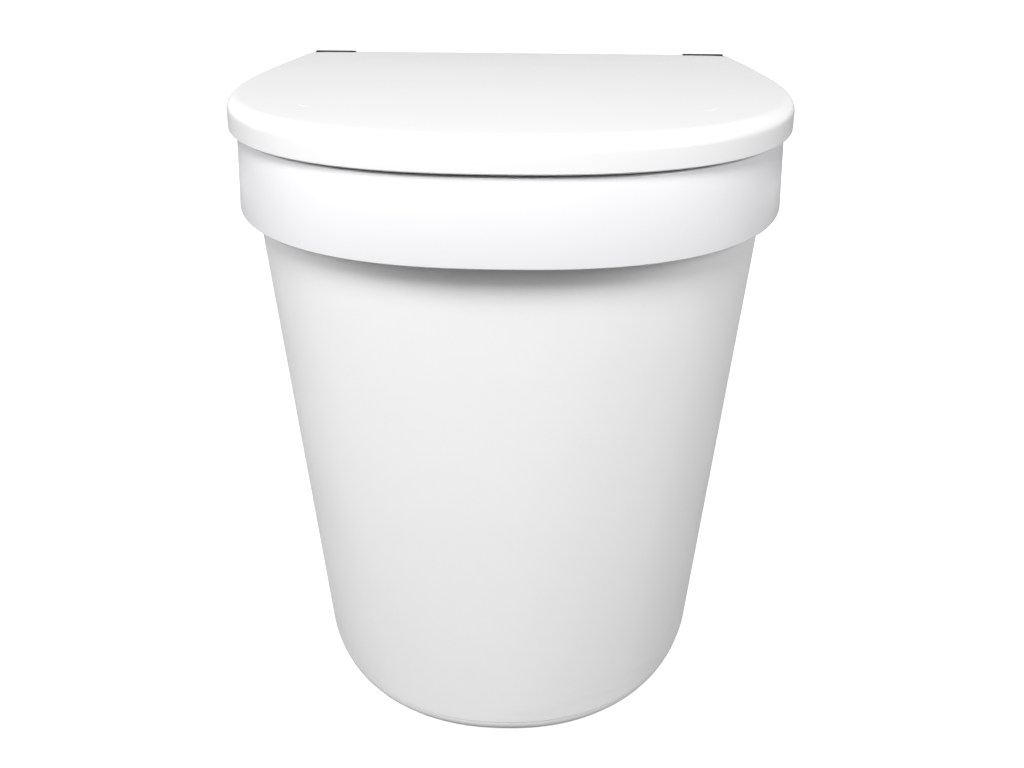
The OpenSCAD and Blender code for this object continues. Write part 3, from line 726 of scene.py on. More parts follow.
def makeLid():
    v = lidValues
    low = lidLow.z
    inside = list(reversed(lidTopRings(v["wall"])))
    lip = [(v["wall"], low + v["lip"]), (v["wall"] - v["lip"], low), (v["lip"], low), (0, low + v["lip"])]
    lid = loft("lidShell", inside + [level(lidOutline(d), z) for d, z in lip] + lidTopRings(0))
    notchY = blockHigh.y - 2 * blockTopRadius - v["notchFront"]
    wayBack = lidHigh.y + 0.01
    merge(lid, block("backCut", (-0.3, notchY, low - 0.01), (0.3, wayBack, low + v["backCut"])), "DIFFERENCE")
    for side in (-1, 1):
        xs = sorted((side * (blockLow.x - v["notchGap"]), side * (blockHigh.x + v["notchGap"])))
        notch = block("notch", (xs[0], notchY, low - 0.01), (xs[1], wayBack, lidHigh.z + 0.01))
        merge(lid, notch, "DIFFERENCE")
    webTop = rimTop - v["wall"] + v["webLap"]
    stemTop = rimTop - v["wall"] / 2 + v["crown"] * 0.6
    for place in bufferPlaces:
        stem = rod("stem", (*place, bufferTop), "Z", stemTop - bufferTop, v["stemRadius"], 48)
        merge(lid, stem, "UNION")
    for side in (-1, 1):
        start = pinLow.x if side > 0 else -pinLow.x - v["knuckleWidth"]
        knuckle = rod("knuckle", (start, pinY, pinZ), "X", v["knuckleWidth"], v["knuckleRadius"])
        web = block("web", (start, pinY - v["knuckleRadius"], pinZ),
                    (start + v["knuckleWidth"], pinY + v["webRear"], webTop))
        merge(knuckle, web, "UNION")
        merge(lid, knuckle, "UNION")
        boreRadius = (pinHigh.z - pinLow.z) / 2 + v["boreGap"]
        bore = rod("bore", (start - 0.001, pinY, pinZ), "X", v["knuckleWidth"] + 0.002, boreRadius)
        merge(lid, bore, "DIFFERENCE")
    return lid


def lidRib(x0, y0, x1, y1):
    # a rib under the lid, its top edge raised into the domed skin
    v = lidValues
    steps = 14
    half = v["ribWidth"] / 2
    across = Vector((y1 - y0, x0 - x1)).normalized() * half
    rings = []
    for i in range(steps + 1):
        x = x0 + (x1 - x0) * i / steps
        y = y0 + (y1 - y0) * i / steps
        top = rimTop - v["wall"] + v["crown"] * (1 - crownShare(x, y) ** 2) + v["webLap"]
        a, b = (x - across.x, y - across.y), (x + across.x, y + across.y)
        rings.append([(*a, v["ribLow"]), (*b, v["ribLow"]), (*b, top), (*a, top)])
    ends = [[tuple(sum(c) / 4 for c in zip(*rings[k]))] * 4 for k in (0, -1)]
    return loft("rib", [ends[0]] + rings + [ends[1]])


def ribEnds(fixed, alongX):
    # the stretch of a line that lies well inside the lid's rounded edge
    along, across = (0, 1) if alongX else (1, 0)
    reach = [p[along] for p in lidOutline(lidValues["ribsIn"]) if abs(p[across] - fixed) < 0.012]
    return min(reach), max(reach)


def liesInside(face):
    # the lid's underside, with its ribs, stems and knuckles
    v = lidValues
    x, y = abs(face.center.x), face.center.y
    if face.normal.z < -0.15 and face.center.z > lidLow.z + v["insideRise"]:
        return True
    if abs(face.normal.z) > 0.5 or face.center.z > rimTop - 0.001:
        return False
    if y > widestY:
        return x < halfWidth - v["insideSide"] and y < lidHigh.y - v["insideBack"]
    power = plan["frontSquareness"]
    across = x / (halfWidth - v["insideFront"])
    along = (widestY - y) / (plan["frontDepth"] - v["insideFront"])
    return across ** power + along ** power < 1


lidShell = makeLid()
ribs = []
for y in lidValues["ribsAcross"]:
    low, high = ribEnds(y, True)
    ribs.append(lidRib(low, y, high, y))
for x in lidValues["ribsAlong"]:
    low, high = ribEnds(x, False)
    ribs.append(lidRib(x, low, x, high - lidValues["ribsBackIn"]))
lidShell = joinAll("lidShell", [lidShell, *ribs])
dress(lidShell, finishes["lid"], "lid", "white_lid", "lid")
# the underside's faces get the darker finish, which is painted shade
lidShell.data.materials.append(finishes["lidInsideShaded"])
for face in lidShell.data.polygons:
    face.material_index = 1 if liesInside(face) else 0
print("lid done")


# hinge blocks
blockValues = {"edge": 0.0008, "footHeight": 0.004}


def makeHingeBlock():
    v = blockValues
    length = blockHigh.x - blockLow.x
    knuckle = rod("hingeBlockRight", (blockLow.x, pinY, pinZ), "X", length, blockTopRadius, 72)
    post = block("post", (blockLow.x, pinY - blockTopRadius, blockLow.z),
                 (blockHigh.x, pinY + blockTopRadius, pinZ))
    merge(knuckle, post, "UNION")
    foot = block("foot", blockLow, (blockHigh.x, blockHigh.y, blockLow.z + v["footHeight"]))
    merge(knuckle, foot, "UNION")
    soften(knuckle, v["edge"], 3, 35)
    return knuckle


hingeBlockRight = makeHingeBlock()
hingeBlockLeft = mirroredCopy(hingeBlockRight, "hingeBlockLeft")
dress(hingeBlockRight, finishes["black"], "seat_section", "black_plastic", "hinge_block_right")
dress(hingeBlockLeft, finishes["black"], "seat_section", "black_plastic", "hinge_block_left")
print("hinge blocks done")


# hinge pins, screws, buffers and feet
screwValues = {
    "shaft": 0.0016,
    "head": 0.0032,
    "headHeight": 0.0025,
    "dome": 0.0011,
    "crossLength": 0.0034,
    "crossWidth": 0.0006,
    "crossDepth": 0.0012,
    "bowlScrewAngles": (-52, 40),
    "bowlScrewOut": 0.016,
    "blockScrewStep": 0.007,
    "blockScrewIn": 0.026,
}


def makeScrew(place, length):
    # head down, its face at place
    v = screwValues
    x, y, z = place
    top = z + v["headHeight"]
    dome = [(v["head"] - v["dome"] * (1 - math.sin(t)), z + v["dome"] * (1 - math.cos(t)))
            for t in (math.pi / 2 * i / 5 for i in range(6))]
    shaft = [(v["head"], top), (v["shaft"], top), (v["shaft"], z + length), (0, z + length)]
    screw = lathe("screw", [(0, z)] + dome + shaft, (x, y), 40)
    for long, wide in ((v["crossLength"], v["crossWidth"]), (v["crossWidth"], v["crossLength"])):
        slot = block("slot", (x - long / 2, y - wide / 2, z - 0.001),
                     (x + long / 2, y + wide / 2, z + v["crossDepth"]))
        merge(screw, slot, "DIFFERENCE")
    return screw


def makeScrewSet(name, places, length):
    return joinAll(name, [makeScrew(place, length) for place in places])


bowlScrewLow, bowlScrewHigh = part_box("diverter_screws")
bowlScrewPlaces = []
for angle in screwValues["bowlScrewAngles"]:
    turned = math.radians(angle)
    grow = screwValues["bowlScrewOut"]
    reach = ovalRadius(collarValues["openWidth"] + grow, collarValues["openFront"] + grow,
                       collarValues["openBack"] + grow, 2, turned)
    for side in (-1, 1):
        y = collarValues["openY"] + reach * math.sin(turned)
        bowlScrewPlaces.append((side * reach * math.cos(turned), y, bowlScrewLow.z))
dress(makeScrewSet("diverterScrews", bowlScrewPlaces, bowlScrewHigh.z - bowlScrewLow.z),
      finishes["steel"], "seat_section", "steel", "diverter_screws")

blockScrewLow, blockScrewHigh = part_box("hinge_screws")
blockMiddle = (blockLow.x + blockHigh.x) / 2
blockScrewPlaces = [(side * (blockMiddle + step), lidHigh.y - screwValues["blockScrewIn"], blockScrewLow.z)
                    for side in (-1, 1)
                    for step in (-screwValues["blockScrewStep"], screwValues["blockScrewStep"])]
dress(makeScrewSet("hingeScrews", blockScrewPlaces, blockScrewHigh.z - blockScrewLow.z),
      finishes["steel"], "seat_section", "steel", "hinge_screws")


def makePin(name, node):
    low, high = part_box(node)
    radius = (high.z - low.z) / 2
    pin = rod(name, (low.x, pinY, pinZ), "X", high.x - low.x, radius, 48)
    return soften(pin, 0.0004, 2)


for side in ("right", "left"):
    node = "hinge_pin_" + side
    dress(makePin("hingePin" + side.title(), node), finishes["steel"], "seat_section", "steel", node)

padValues = {"bufferRounding": 0.0014, "footChamfer": 0.0007, "grooveDepth": 0.0004,
             "grooves": (0.004, 0.0075, 0.011)}


def makeBuffer(name, node):
    low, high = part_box(node)
    radius = (high.x - low.x) / 2
    r = padValues["bufferRounding"]
    rounding = [(radius - r + r * math.sin(t), low.z + r - r * math.cos(t))
                for t in (math.pi / 2 * i / 6 for i in range(7))]
    profile = [(0, low.z), (radius * 0.5, low.z)] + rounding + [(radius, high.z), (0, high.z)]
    return lathe(name, profile, ((low.x + high.x) / 2, (low.y + high.y) / 2), 48)


def makeFoot(name, node):
    v = padValues
    low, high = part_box(node)
    radius = (high.x - low.x) / 2
    profile = [(0, low.z)]
    for groove in v["grooves"]:
        profile += [(groove, low.z), (groove + 0.0003, low.z + v["grooveDepth"]),
                    (groove + 0.0013, low.z + v["grooveDepth"]), (groove + 0.0016, low.z)]
    profile += [(radius - v["footChamfer"], low.z), (radius, low.z + v["footChamfer"])]
    profile += [(radius, high.z), (0, high.z)]
    return lathe(name, profile, ((low.x + high.x) / 2, (low.y + high.y) / 2), 72)


for where in ("front_left", "front_right", "rear_left", "rear_right"):
    ending = where.title().replace("_", "")
    node = "buffer_" + where
    dress(makeBuffer("buffer" + ending, node), finishes["rubber"], "lid", "rubber", node)
    node = "foot_" + where
    dress(makeFoot("foot" + ending, node), finishes["rubber"], "casing", "rubber", node)
print("pins, screws, buffers and feet done")


# diverter: chute, urine pan and spout
diverterValues = {
    "wall": 0.0025,
    "chuteIn": 0.005,        # inside of the chute, out from the seat opening
    "chuteHeight": 0.072,
    "chuteDraw": 0.009,
    "flangeWidth": 0.017,
    "edge": 0.0007,
    "ovalSteps": 180,
    "spoutRadius": 0.0155,
    "drainRadius": 0.0125,
    # share of the pan's depth, half width, front, back, middle behind the drain, squareness
    "panRows": [(0.21, 0.112, 0.110, 0.040, 0.060, 2.2), (0.40, 0.104, 0.104, 0.036, 0.058, 2.2),
                (0.61, 0.086, 0.090, 0.034, 0.050, 2.2), (0.81, 0.058, 0.062, 0.034, 0.030, 2.2),
                (0.94, 0.036, 0.036, 0.030, 0.012, 2.1), (1.00, 0.0206, 0.0206, 0.0206, 0.0, 2.0)],
    "panRings": 22,
}
flangeTop = diverterHigh.z
panFloor = strainerLow.z
drainY = (strainerLow.y + strainerHigh.y) / 2


def ovalRing(width, front, back, squareness, middleY, height):
    steps = diverterValues["ovalSteps"]
    ring = []
    for i in range(steps):
        angle = 2 * math.pi * i / steps - math.pi / 2
        radius = ovalRadius(width, front, back, squareness, angle)
        ring.append((radius * math.cos(angle), middleY + radius * math.sin(angle), height))
    return ring


def chuteRing(grow, height):
    v = collarValues
    return ovalRing(v["openWidth"] + grow, v["openFront"] + grow, v["openBack"] + grow, 2, v["openY"], height)


def panRow(share):
    # a smooth curve through the pan's rows
    rows = diverterValues["panRows"]
    i = next((k for k in range(len(rows) - 2) if share <= rows[k + 1][0]), len(rows) - 2)
    span = rows[i + 1][0] - rows[i][0]
    t = (share - rows[i][0]) / span
    row = []
    for column in range(1, 6):
        slopes = []
        for k in (i, i + 1):
            a, b = rows[max(k - 1, 0)], rows[min(k + 1, len(rows) - 1)]
            slopes.append((b[column] - a[column]) / (b[0] - a[0]) * span)
        p, q = rows[i][column], rows[i + 1][column]
        bend = slopes[0] * (t - 2 * t * t + t ** 3) + slopes[1] * (t ** 3 - t * t)
        row.append(p + (q - p) * (3 * t * t - 2 * t ** 3) + bend)
    return row


def panRing(share, grow, drop):
    depth = flangeTop - panFloor
    width, front, back, behind, squareness = panRow(share)
    return ovalRing(width + grow, front + grow, back + grow, squareness, drainY + behind,
                    flangeTop - depth * share - drop)


def makeDiverter():
    v = diverterValues
    wall, edge = v["wall"], v["edge"]
    bottom, flangeLow = flangeTop - v["chuteHeight"], flangeTop - wall
    inner, outer = v["chuteIn"], v["chuteIn"] + wall
    flange = outer + v["flangeWidth"]
    path = roundedPath([(outer - v["chuteDraw"], bottom, edge), (outer, flangeLow, 0.0012),
                        (flange, flangeLow, edge), (flange, flangeTop, edge),
                        (inner, flangeTop, 0.0015), (inner - v["chuteDraw"], bottom, edge)], 3, closed=True)
    chute = loft("chute", [chuteRing(grow, height) for grow, height in path])
    first = v["panRows"][0][0]
    shares = [first + (1 - first) * i / v["panRings"] for i in range(v["panRings"] + 1)]
    centre = (0, drainY)
    outerWall = [panRing(share, wall * 0.8, wall * 0.6) for share in reversed(shares)]
    rim = [panRing(first, wall * 0.8, -0.0005), panRing(first, wall * 0.55, -0.001),
           panRing(first, wall * 0.25, -0.001), panRing(first, 0, -0.0005)]
    innerWall = [panRing(share, 0, 0) for share in shares]
    poles = [[(*centre, height)] * v["ovalSteps"] for height in (panFloor - wall, panFloor)]
    merge(chute, loft("pan", [poles[0]] + outerWall + rim + innerWall + [poles[1]]), "UNION")
    low, radius, under = diverterLow.z, v["spoutRadius"], panFloor - wall
    profile = [(0, low), (radius - 0.0006, low), (radius, low + 0.0006), (radius, under - 0.004),
               (radius + 0.0035, under + 0.0005), (0, panFloor - 0.001)]
    merge(chute, lathe("spout", profile, centre, 72), "UNION")
    bore = rod("bore", (*centre, low - 0.002), "Z", panFloor - low + 0.01, v["drainRadius"], 72)
    merge(chute, bore, "DIFFERENCE")
    chute.name = "diverterBowl"
    return chute


dress(makeDiverter(), finishes["insert"], "seat_section", "grey_insert", "diverter")
print("diverter done")


# strainer
strainerValues = {
    "thickness": 0.002,
    "edge": 0.0005,
    "knobRadius": 0.003,
    "knobEdge": 0.0009,
    "knobSunk": 0.0013,      # into the disc
    "holes": 8,
    "holeRadius": 0.002,
    "holeCircle": 0.0095,
}


def makeStrainer():
    v = strainerValues
    low, high, top = strainerLow.z, strainerLow.z + v["thickness"], strainerHigh.z
    disc = rod("strainerDisc", (0, drainY, low), "Z", v["thickness"], strainerHigh.x, 72)
    soften(disc, v["edge"], 3)
    knobLow = high - v["knobSunk"]
    knob = rod("knob", (0, drainY, knobLow), "Z", top - knobLow, v["knobRadius"], 44)
    merge(disc, soften(knob, v["knobEdge"], 3), "UNION")
    holes = []
    for i in range(v["holes"]):
        angle = 2 * math.pi * i / v["holes"]
        x, y = v["holeCircle"] * math.cos(angle), drainY + v["holeCircle"] * math.sin(angle)
        holes.append(rod("hole", (x, y, low - 0.001), "Z", v["thickness"] + 0.002, v["holeRadius"], 28))
    return merge(disc, joinAll("holes", holes), "DIFFERENCE")


dress(makeStrainer(), finishes["insert"], "strainer", "grey_insert", "strainer")
print("strainer done")


# solids bucket with its bail
bucketValues = {
    "draft": 0.009,
    "squareness": 3.2,
    "wall": 0.0025,
    "flange": 0.006,
    "flangeHeight": 0.004,
    "footRadius": 0.012,
    "pivotDrop": 0.018,
    "earRadius": 0.007,
    "earReach": 0.0055,      # outside of an ear, out from the bucket's wall
    "steps": 160,
    "beadDrops": (0.040, 0.047),
    "bead": 0.0006,
}
bailValues = {
    "wire": 0.003,           # radius
    "boreGap": 0.00005,
    "sideReach": 0.014,      # middle of the wire, out from the bucket's wall
    "elbow": 0.004,
    "bend": 0.030,
    "ringSteps": 28,
    "gripRadius": 0.007,
    "grooves": 6,
    "grooveDepth": 0.0006,
}
bucketWidth = bucketHigh.x - bucketValues["flange"]
bucketDepth = (bucketHigh.y - bucketLow.y) / 2 - bucketValues["flange"]
bucketY = (bucketLow.y + bucketHigh.y) / 2
pivotZ = bucketHigh.z - bucketValues["pivotDrop"]


def bucketRing(inset, height):
    v = bucketValues
    inwards = inset + v["draft"] * (1 - (height - bucketLow.z) / (bucketHigh.z - bucketLow.z))
    ring = []
    for i in range(v["steps"]):
        angle = 2 * math.pi * i / v["steps"]
        depth = bucketDepth - inwards
        radius = ovalRadius(bucketWidth - inwards, depth, depth, v["squareness"], angle)
        ring.append((radius * math.cos(angle), bucketY + radius * math.sin(angle), height))
    return ring


def makeBucket():
    v = bucketValues
    low, top, wall = bucketLow.z, bucketHigh.z, v["wall"]
    lip = top - v["flangeHeight"]
    beads = []
    for drop in reversed(v["beadDrops"]):
        beads += [(0, top - drop - 0.0015, 0), (-v["bead"], top - drop, 0), (0, top - drop + 0.0015, 0)]
    path = roundedPath([(0.05, low, 0), (0, low, v["footRadius"])] + beads + [
        (0, lip, 0.0008), (-v["flange"], lip, 0.0009), (-v["flange"], top, 0.0014), (wall, top, 0.0009),
        (wall, low + wall, v["footRadius"] - wall), (0.05, low + wall, 0)], 6)
    poles = [[(0, bucketY, height)] * v["steps"] for height in (low, low + wall)]
    bucket = loft("solidsBucket", [poles[0]] + [bucketRing(d, z) for d, z in path] + [poles[1]])
    for side in (-1, 1):
        inner, outer = bucketWidth - 0.0025, bucketWidth + v["earReach"]
        start = inner if side > 0 else -outer
        ear = rod("ear", (start, bucketY, pivotZ), "X", outer - inner, v["earRadius"], 48)
        soften(ear, 0.0006, 2)
        merge(bucket, ear, "UNION")
        start = bucketWidth - 0.0005 if side > 0 else 0.0005 - bucketWidth - 0.02
        boreRadius = bailValues["wire"] + bailValues["boreGap"]
        bore = rod("bore", (start, bucketY, pivotZ), "X", 0.02, boreRadius, 36)
        merge(bucket, bore, "DIFFERENCE")
    return bucket


dress(makeBucket(), finishes["bucket"], "bucket", "grey_bucket", "solids_bucket")

gripCentre = (gripLow + gripHigh) / 2
bailReach = math.hypot(gripCentre.y - bucketY, gripCentre.z - pivotZ)
bailTurn = math.atan2(gripCentre.z - pivotZ, gripCentre.y - bucketY)


def inBail(x, out, up):
    # from the bail's own frame, whose arms run out along +Y
    return (x, bucketY + out * math.cos(bailTurn) - up * math.sin(bailTurn),
            pivotZ + out * math.sin(bailTurn) + up * math.cos(bailTurn))


def bendPath(corners, steps=8):
    # a flat line whose corners are turned into arcs
    return [Vector(point) for point in roundedPath(corners, steps)]


def makeWire():
    v = bailValues
    side = bucketWidth + v["sideReach"]
    inner = bucketWidth + 0.001
    line = bendPath([(-inner, 0, 0), (-side, 0, v["elbow"]), (-side, bailReach, v["bend"]),
                     (side, bailReach, v["bend"]), (side, 0, v["elbow"]), (inner, 0, 0)], 12)
    rings = []
    for i, point in enumerate(line):
        along = (line[min(i + 1, len(line) - 1)] - line[max(i - 1, 0)]).normalized()
        across = Vector((-along.y, along.x))
        ring = []
        for k in range(v["ringSteps"]):
            angle = 2 * math.pi * k / v["ringSteps"]
            flat = point + across * v["wire"] * math.cos(angle)
            ring.append(inBail(flat.x, flat.y, v["wire"] * math.sin(angle)))
        rings.append(ring)
    ends = [[inBail(line[k].x, line[k].y, 0)] * v["ringSteps"] for k in (0, -1)]
    return loft("bailWire", [ends[0]] + rings + [ends[1]])


def makeGrip():
    v = bailValues
    half = gripHigh.x
    bore, radius = v["wire"] + 0.00002, v["gripRadius"]
    ending = [(half - 0.0016, radius), (half - 0.0006, radius - 0.0005), (half, radius - 0.0015),
              (half, bore)]
    profile = [(-x, reach) for x, reach in reversed(ending)]
    steps = 72
    for i in range(steps + 1):
        x = -half + 0.008 + (2 * half - 0.016) * i / steps
        wave = (1 - math.cos(2 * math.pi * v["grooves"] * i / steps)) / 2
        profile.append((x, radius - v["grooveDepth"] * wave))
    profile += ending + profile[:1]
    rings = []
    for x, reach in profile:
        turns = [2 * math.pi * k / 40 for k in range(40)]
        rings.append([inBail(x, bailReach + reach * math.cos(t), reach * math.sin(t)) for t in turns])
    return loft("bailGrip", rings)


dress(makeWire(), finishes["steel"], "bail", "steel", "bail_wire")
dress(makeGrip(), finishes["black"], "bail", "black_plastic", "bail_grip")
print("bucket and bail done")


# urine canister with its cap
canisterValues = {
    "frontDepth": 0.114,     # widest line to the front, at the shoulder
    "draft": 0.012,
    "cornerRadius": 0.022,
    "wall": 0.0025,
    "rounding": 0.012,
    "neckRadius": 0.0245,
    "mouthRadius": 0.021,
    "neckHeight": 0.034,
    "threadRadius": 0.0257,
    "threadDrops": (0.002, 0.008),
    "threadHeight": 0.0018,
    "handleRadius": 0.007,
    "handleHeight": 0.028,
    "handleBack": 0.004,     # handle in front of the widest line
    "handleBend": 0.011,
    "spigotHeight": 0.0124,
    "spigotSunk": 0.0021,
}
neckTop = canisterHigh.z
shoulderZ = neckTop - canisterValues["neckHeight"]
canisterWidth = canisterHigh.x
canisterY = canisterLow.y + canisterValues["frontDepth"]
canisterBack = canisterHigh.y - canisterY


def canisterRing(inset, height):
    v = canisterValues
    inwards = v["draft"] * (1 - (height - canisterLow.z) / (shoulderZ - canisterLow.z))
    half = halfOutline(canisterWidth - inwards - inset, v["frontDepth"] - inwards - inset,
                       canisterBack - inset, 2, 0, v["cornerRadius"] - inset / 3)
    return level(wholeOutline(half, canisterY), height)


def canisterShell(name, inset):
    v = canisterValues
    low, high, radius = canisterLow.z + inset, shoulderZ - inset, v["rounding"] - inset
    rings = []
    for i in range(8):
        t = math.pi / 2 * i / 7
        rings.append(canisterRing(inset + radius * (1 - math.sin(t)), low + radius * (1 - math.cos(t))))
    for i in range(1, 6):
        rings.append(canisterRing(inset, low + radius + (high - low - 2 * radius) * i / 6))
    for i in range(8):
        t = math.pi / 2 * i / 7
        rings.append(canisterRing(inset + radius * (1 - math.cos(t)), high - radius * (1 - math.sin(t))))
    middle = (0, canisterY - 0.03)
    for share in (0.8, 0.5, 0):
        rings.insert(0, level(shrunk([p[:2] for p in canisterRing(inset + radius, low)], share, middle), low))
        rings.append(level(shrunk([p[:2] for p in canisterRing(inset + radius, high)], share, middle), high))
    return loft(name, rings)


def makeNeck():
    v = canisterValues
    radius, crest = v["neckRadius"], v["threadRadius"]
    profile = [(0, shoulderZ - 0.002), (radius + 0.003, shoulderZ - 0.002), (radius + 0.003, shoulderZ),
               (radius + 0.0009, shoulderZ + 0.0009), (radius, shoulderZ + 0.003)]
    for drop in reversed(v["threadDrops"]):
        top = neckTop - drop
        low = top - v["threadHeight"]
        profile += [(radius, low - 0.0005), (crest - 0.0002, low), (crest, low + 0.0004),
                    (crest, top - 0.0004), (crest - 0.0002, top), (radius, top + 0.0005)]
    profile += [(radius, neckTop - 0.0006), (radius - 0.0006, neckTop), (0, neckTop)]
    return lathe("neck", profile, (0, drainY), 96)


def makeHandle():
    v = canisterValues
    x, y, top = canisterWidth / 3, canisterY - v["handleBack"], shoulderZ + v["handleHeight"]
    low = shoulderZ - 0.001
    line = bendPath([(-x, low, 0), (-x, top, v["handleBend"]), (x, top, v["handleBend"]), (x, low, 0)], 10)
    rings = []
    for i, point in enumerate(line):
        along = (line[min(i + 1, len(line) - 1)] - line[max(i - 1, 0)]).normalized()
        across = Vector((-along.y, along.x))
        ring = []
        for k in range(40):
            angle = 2 * math.pi * k / 40
            flat = point + across * v["handleRadius"] * math.cos(angle)
            ring.append((flat.x, y + v["handleRadius"] * math.sin(angle), flat.y))
        rings.append(ring)
    ends = [[(line[k].x, y, line[k].y)] * 40 for k in (0, -1)]
    return loft("handle", [ends[0]] + rings + [ends[1]])


def makeCanister():
    v = canisterValues
    body = canisterShell("urineCanister", 0)
    merge(body, makeNeck(), "UNION")
    merge(body, makeHandle(), "UNION")
    low = shoulderZ - v["wall"] - 0.002
    mouth = rod("mouth", (0, drainY, low), "Z", neckTop - low + 0.002, v["mouthRadius"], 96)
    # hollow and mouth are one cutter: a hollow that crosses no face is now and then left uncut
    merge(body, merge(canisterShell("hollow", v["wall"]), mouth, "UNION"), "DIFFERENCE")
    capMiddle = (capLow + capHigh) / 2
    spigot = rod("spigot", (capMiddle.x, capMiddle.y, shoulderZ - v["spigotSunk"]), "Z",
                 v["spigotSunk"] + v["spigotHeight"], v["threadRadius"], 76)
    return joinAll("urineCanister", [body, soften(spigot, 0.0006, 2)])


capValues = {
    "radius": 0.0284,
    "ribs": 24,
    "ribHeight": 0.0007,
    "inside": 0.0262,
    "wall": 0.0022,
    "rounding": 0.0016,
    "steps": 240,
}


def capRing(radius, height, share):
    # share is how far the grip ribs stand out
    v = capValues
    middle = (capLow + capHigh) / 2
    ring = []
    for i in range(v["steps"]):
        angle = 2 * math.pi * i / v["steps"]
        bump = max(0, (math.cos(v["ribs"] * angle) + 0.1) / 1.1) ** 0.7
        reach = radius + v["ribHeight"] * bump * share
        ring.append((middle.x + reach * math.cos(angle), middle.y + reach * math.sin(angle), height))
    return ring


def makeCap():
    v = capValues
    low, high, radius, curve = capLow.z, capHigh.z, v["radius"], v["rounding"]
    rows = [(0, low, 0), (radius - 0.0004, low, 0), (radius, low + 0.0005, 0), (radius, low + 0.001, 0),
            (radius, low + 0.0018, 1), (radius, high - 0.0028, 1), (radius, high - 0.0018, 0)]
    for i in range(6):
        t = math.pi / 2 * i / 5
        rows.append((radius - curve * (1 - math.cos(t)), high - curve * (1 - math.sin(t)), 0))
    rows += [(radius - 0.0045, high, 0), (radius - 0.0055, high - 0.0005, 0), (0, high - 0.0005, 0)]
    cap = loft("canisterCap", [capRing(*row) for row in rows])
    ceiling = high - v["wall"]
    hollow = loft("hollow", [capRing(0, low - 0.001, 0), capRing(v["inside"], low - 0.001, 0),
                             capRing(v["inside"], ceiling, 0), capRing(0, ceiling, 0)])
    return merge(cap, hollow, "DIFFERENCE")


dress(makeCanister(), finishes["canister"], "canister", "canister_plastic", "urine_canister")
dress(makeCap(), finishes["black"], "cap", "black_plastic", "canister_cap")
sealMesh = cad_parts["cap_seal"].data    # the cap's seal is shown as the frame gives it
sealMesh.materials.clear()
sealMesh.materials.append(finishes["foam"])
print("canister and cap done")


# floor, light and camera
studio = {
    "floorSize": 80,
    "floorColor": (0.18, 0.18, 0.18),
    "floorSeen": (0.80, 0.80, 0.80),
    "floorGlow": (0.75, 1.10),       # by the object, and from glowFar on
    "glowNear": 0.5,
    "glowFar": 2.2,
    "worldStrength": 0.06,
    "worldMirrored": 0.77,
    "key": {"place": (-0.25, -2.00, 2.34), "size": 1.1, "power": 72.5},
    "left": {"place": (-1.79, -0.95, 1.15), "size": 1.2, "power": 25},
    "right": {"place": (1.79, -0.95, 1.15), "size": 1.2, "power": 23.5},
    "rearLeft": {"place": (-1.5, 1.7, 0.38), "size": 0.7, "power": 16, "mirrored": False},
    "rearRight": {"place": (1.5, 1.7, 0.38), "size": 0.7, "power": 16, "mirrored": False},
    "aim": (0, 0, 0.25),
}


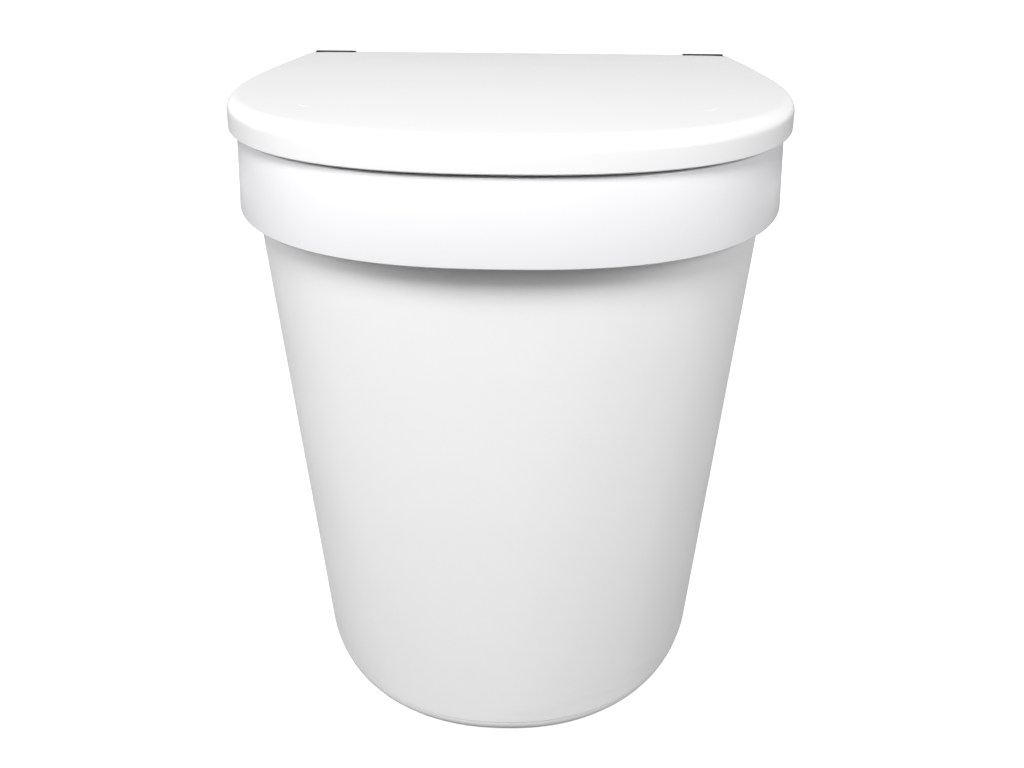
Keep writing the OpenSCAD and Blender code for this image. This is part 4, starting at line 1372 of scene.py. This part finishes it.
def makeFloor():
    bpy.ops.object.select_all(action="DESELECT")
    bpy.ops.mesh.primitive_plane_add(size=studio["floorSize"], location=(0, 0, 0))
    floor = bpy.context.object
    floor.name = "floor"
    finish, nodes, links, shader = startFinish("paleFloor")
    path = nodes.new("ShaderNodeLightPath")
    tone = mixTone(nodes, links, path.outputs["Is Camera Ray"], studio["floorColor"], studio["floorSeen"])
    links.new(tone, shader.inputs["Base Color"])
    shader.inputs["Roughness"].default_value = 0.9
    shader.inputs["Specular IOR Level"].default_value = 0.1
    shader.inputs["Emission Color"].default_value = (1, 1, 1, 1)
    distance = nodes.new("ShaderNodeVectorMath")
    distance.operation = "LENGTH"
    links.new(nodes.new("ShaderNodeTexCoord").outputs["Object"], distance.inputs[0])
    glow = spread(nodes, links, distance.outputs["Value"], studio["glowNear"], studio["glowFar"],
                  *studio["floorGlow"])
    seen = nodes.new("ShaderNodeMath")
    seen.operation = "MULTIPLY"
    links.new(glow, seen.inputs[0])
    links.new(path.outputs["Is Camera Ray"], seen.inputs[1])
    links.new(seen.outputs["Value"], shader.inputs["Emission Strength"])
    floor.data.materials.append(finish)


def makeLamp(name, values):
    bpy.ops.object.light_add(type="AREA", location=values["place"])
    lamp = bpy.context.object
    lamp.name = name
    lamp.data.shape = "DISK"
    lamp.data.size = values["size"]
    lamp.data.energy = values["power"]
    towards = Vector(studio["aim"]) - Vector(values["place"])
    lamp.rotation_euler = towards.to_track_quat("-Z", "Y").to_euler()
    lamp.visible_glossy = values.get("mirrored", True)


def makeWorld():
    world = bpy.data.worlds.new("paleStudio")
    bpy.context.scene.world = world
    world.use_nodes = True
    nodes, links = world.node_tree.nodes, world.node_tree.links
    background = nodes["Background"]
    background.inputs["Color"].default_value = (1, 1, 1, 1)
    path = nodes.new("ShaderNodeLightPath")
    mirrored = spread(nodes, links, path.outputs["Is Glossy Ray"], 0, 1,
                      studio["worldStrength"], studio["worldMirrored"])
    seen = nodes.new("ShaderNodeMath")
    seen.operation = "MAXIMUM"
    links.new(path.outputs["Is Camera Ray"], seen.inputs[0])
    links.new(mirrored, seen.inputs[1])
    links.new(seen.outputs["Value"], background.inputs["Strength"])


makeFloor()
makeWorld()
for lampName in ("key", "left", "right", "rearLeft", "rearRight"):
    makeLamp(lampName, studio[lampName])

camera = {
    "focalPixels": 1045.8,
    "imageWidth": 1024,
    "sensor": 36,
    "place": (0.0205, -0.7805, 0.5365),
    "heading": 1.39,         # degrees, turned from +Y towards -X
    "down": 22.71,
    "roll": 0.43,
}
bpy.ops.object.camera_add(location=camera["place"])
view = bpy.context.object
view.data.sensor_width = camera["sensor"]
view.data.lens = camera["focalPixels"] * camera["sensor"] / camera["imageWidth"]
turn = (Matrix.Rotation(math.radians(camera["heading"]), 4, "Z")
        @ Matrix.Rotation(math.radians(90 - camera["down"]), 4, "X")
        @ Matrix.Rotation(math.radians(camera["roll"]), 4, "Z"))
view.rotation_euler = turn.to_euler()
bpy.context.scene.camera = view
bpy.context.scene.view_settings.view_transform = "Standard"
print("floor, light and camera done")
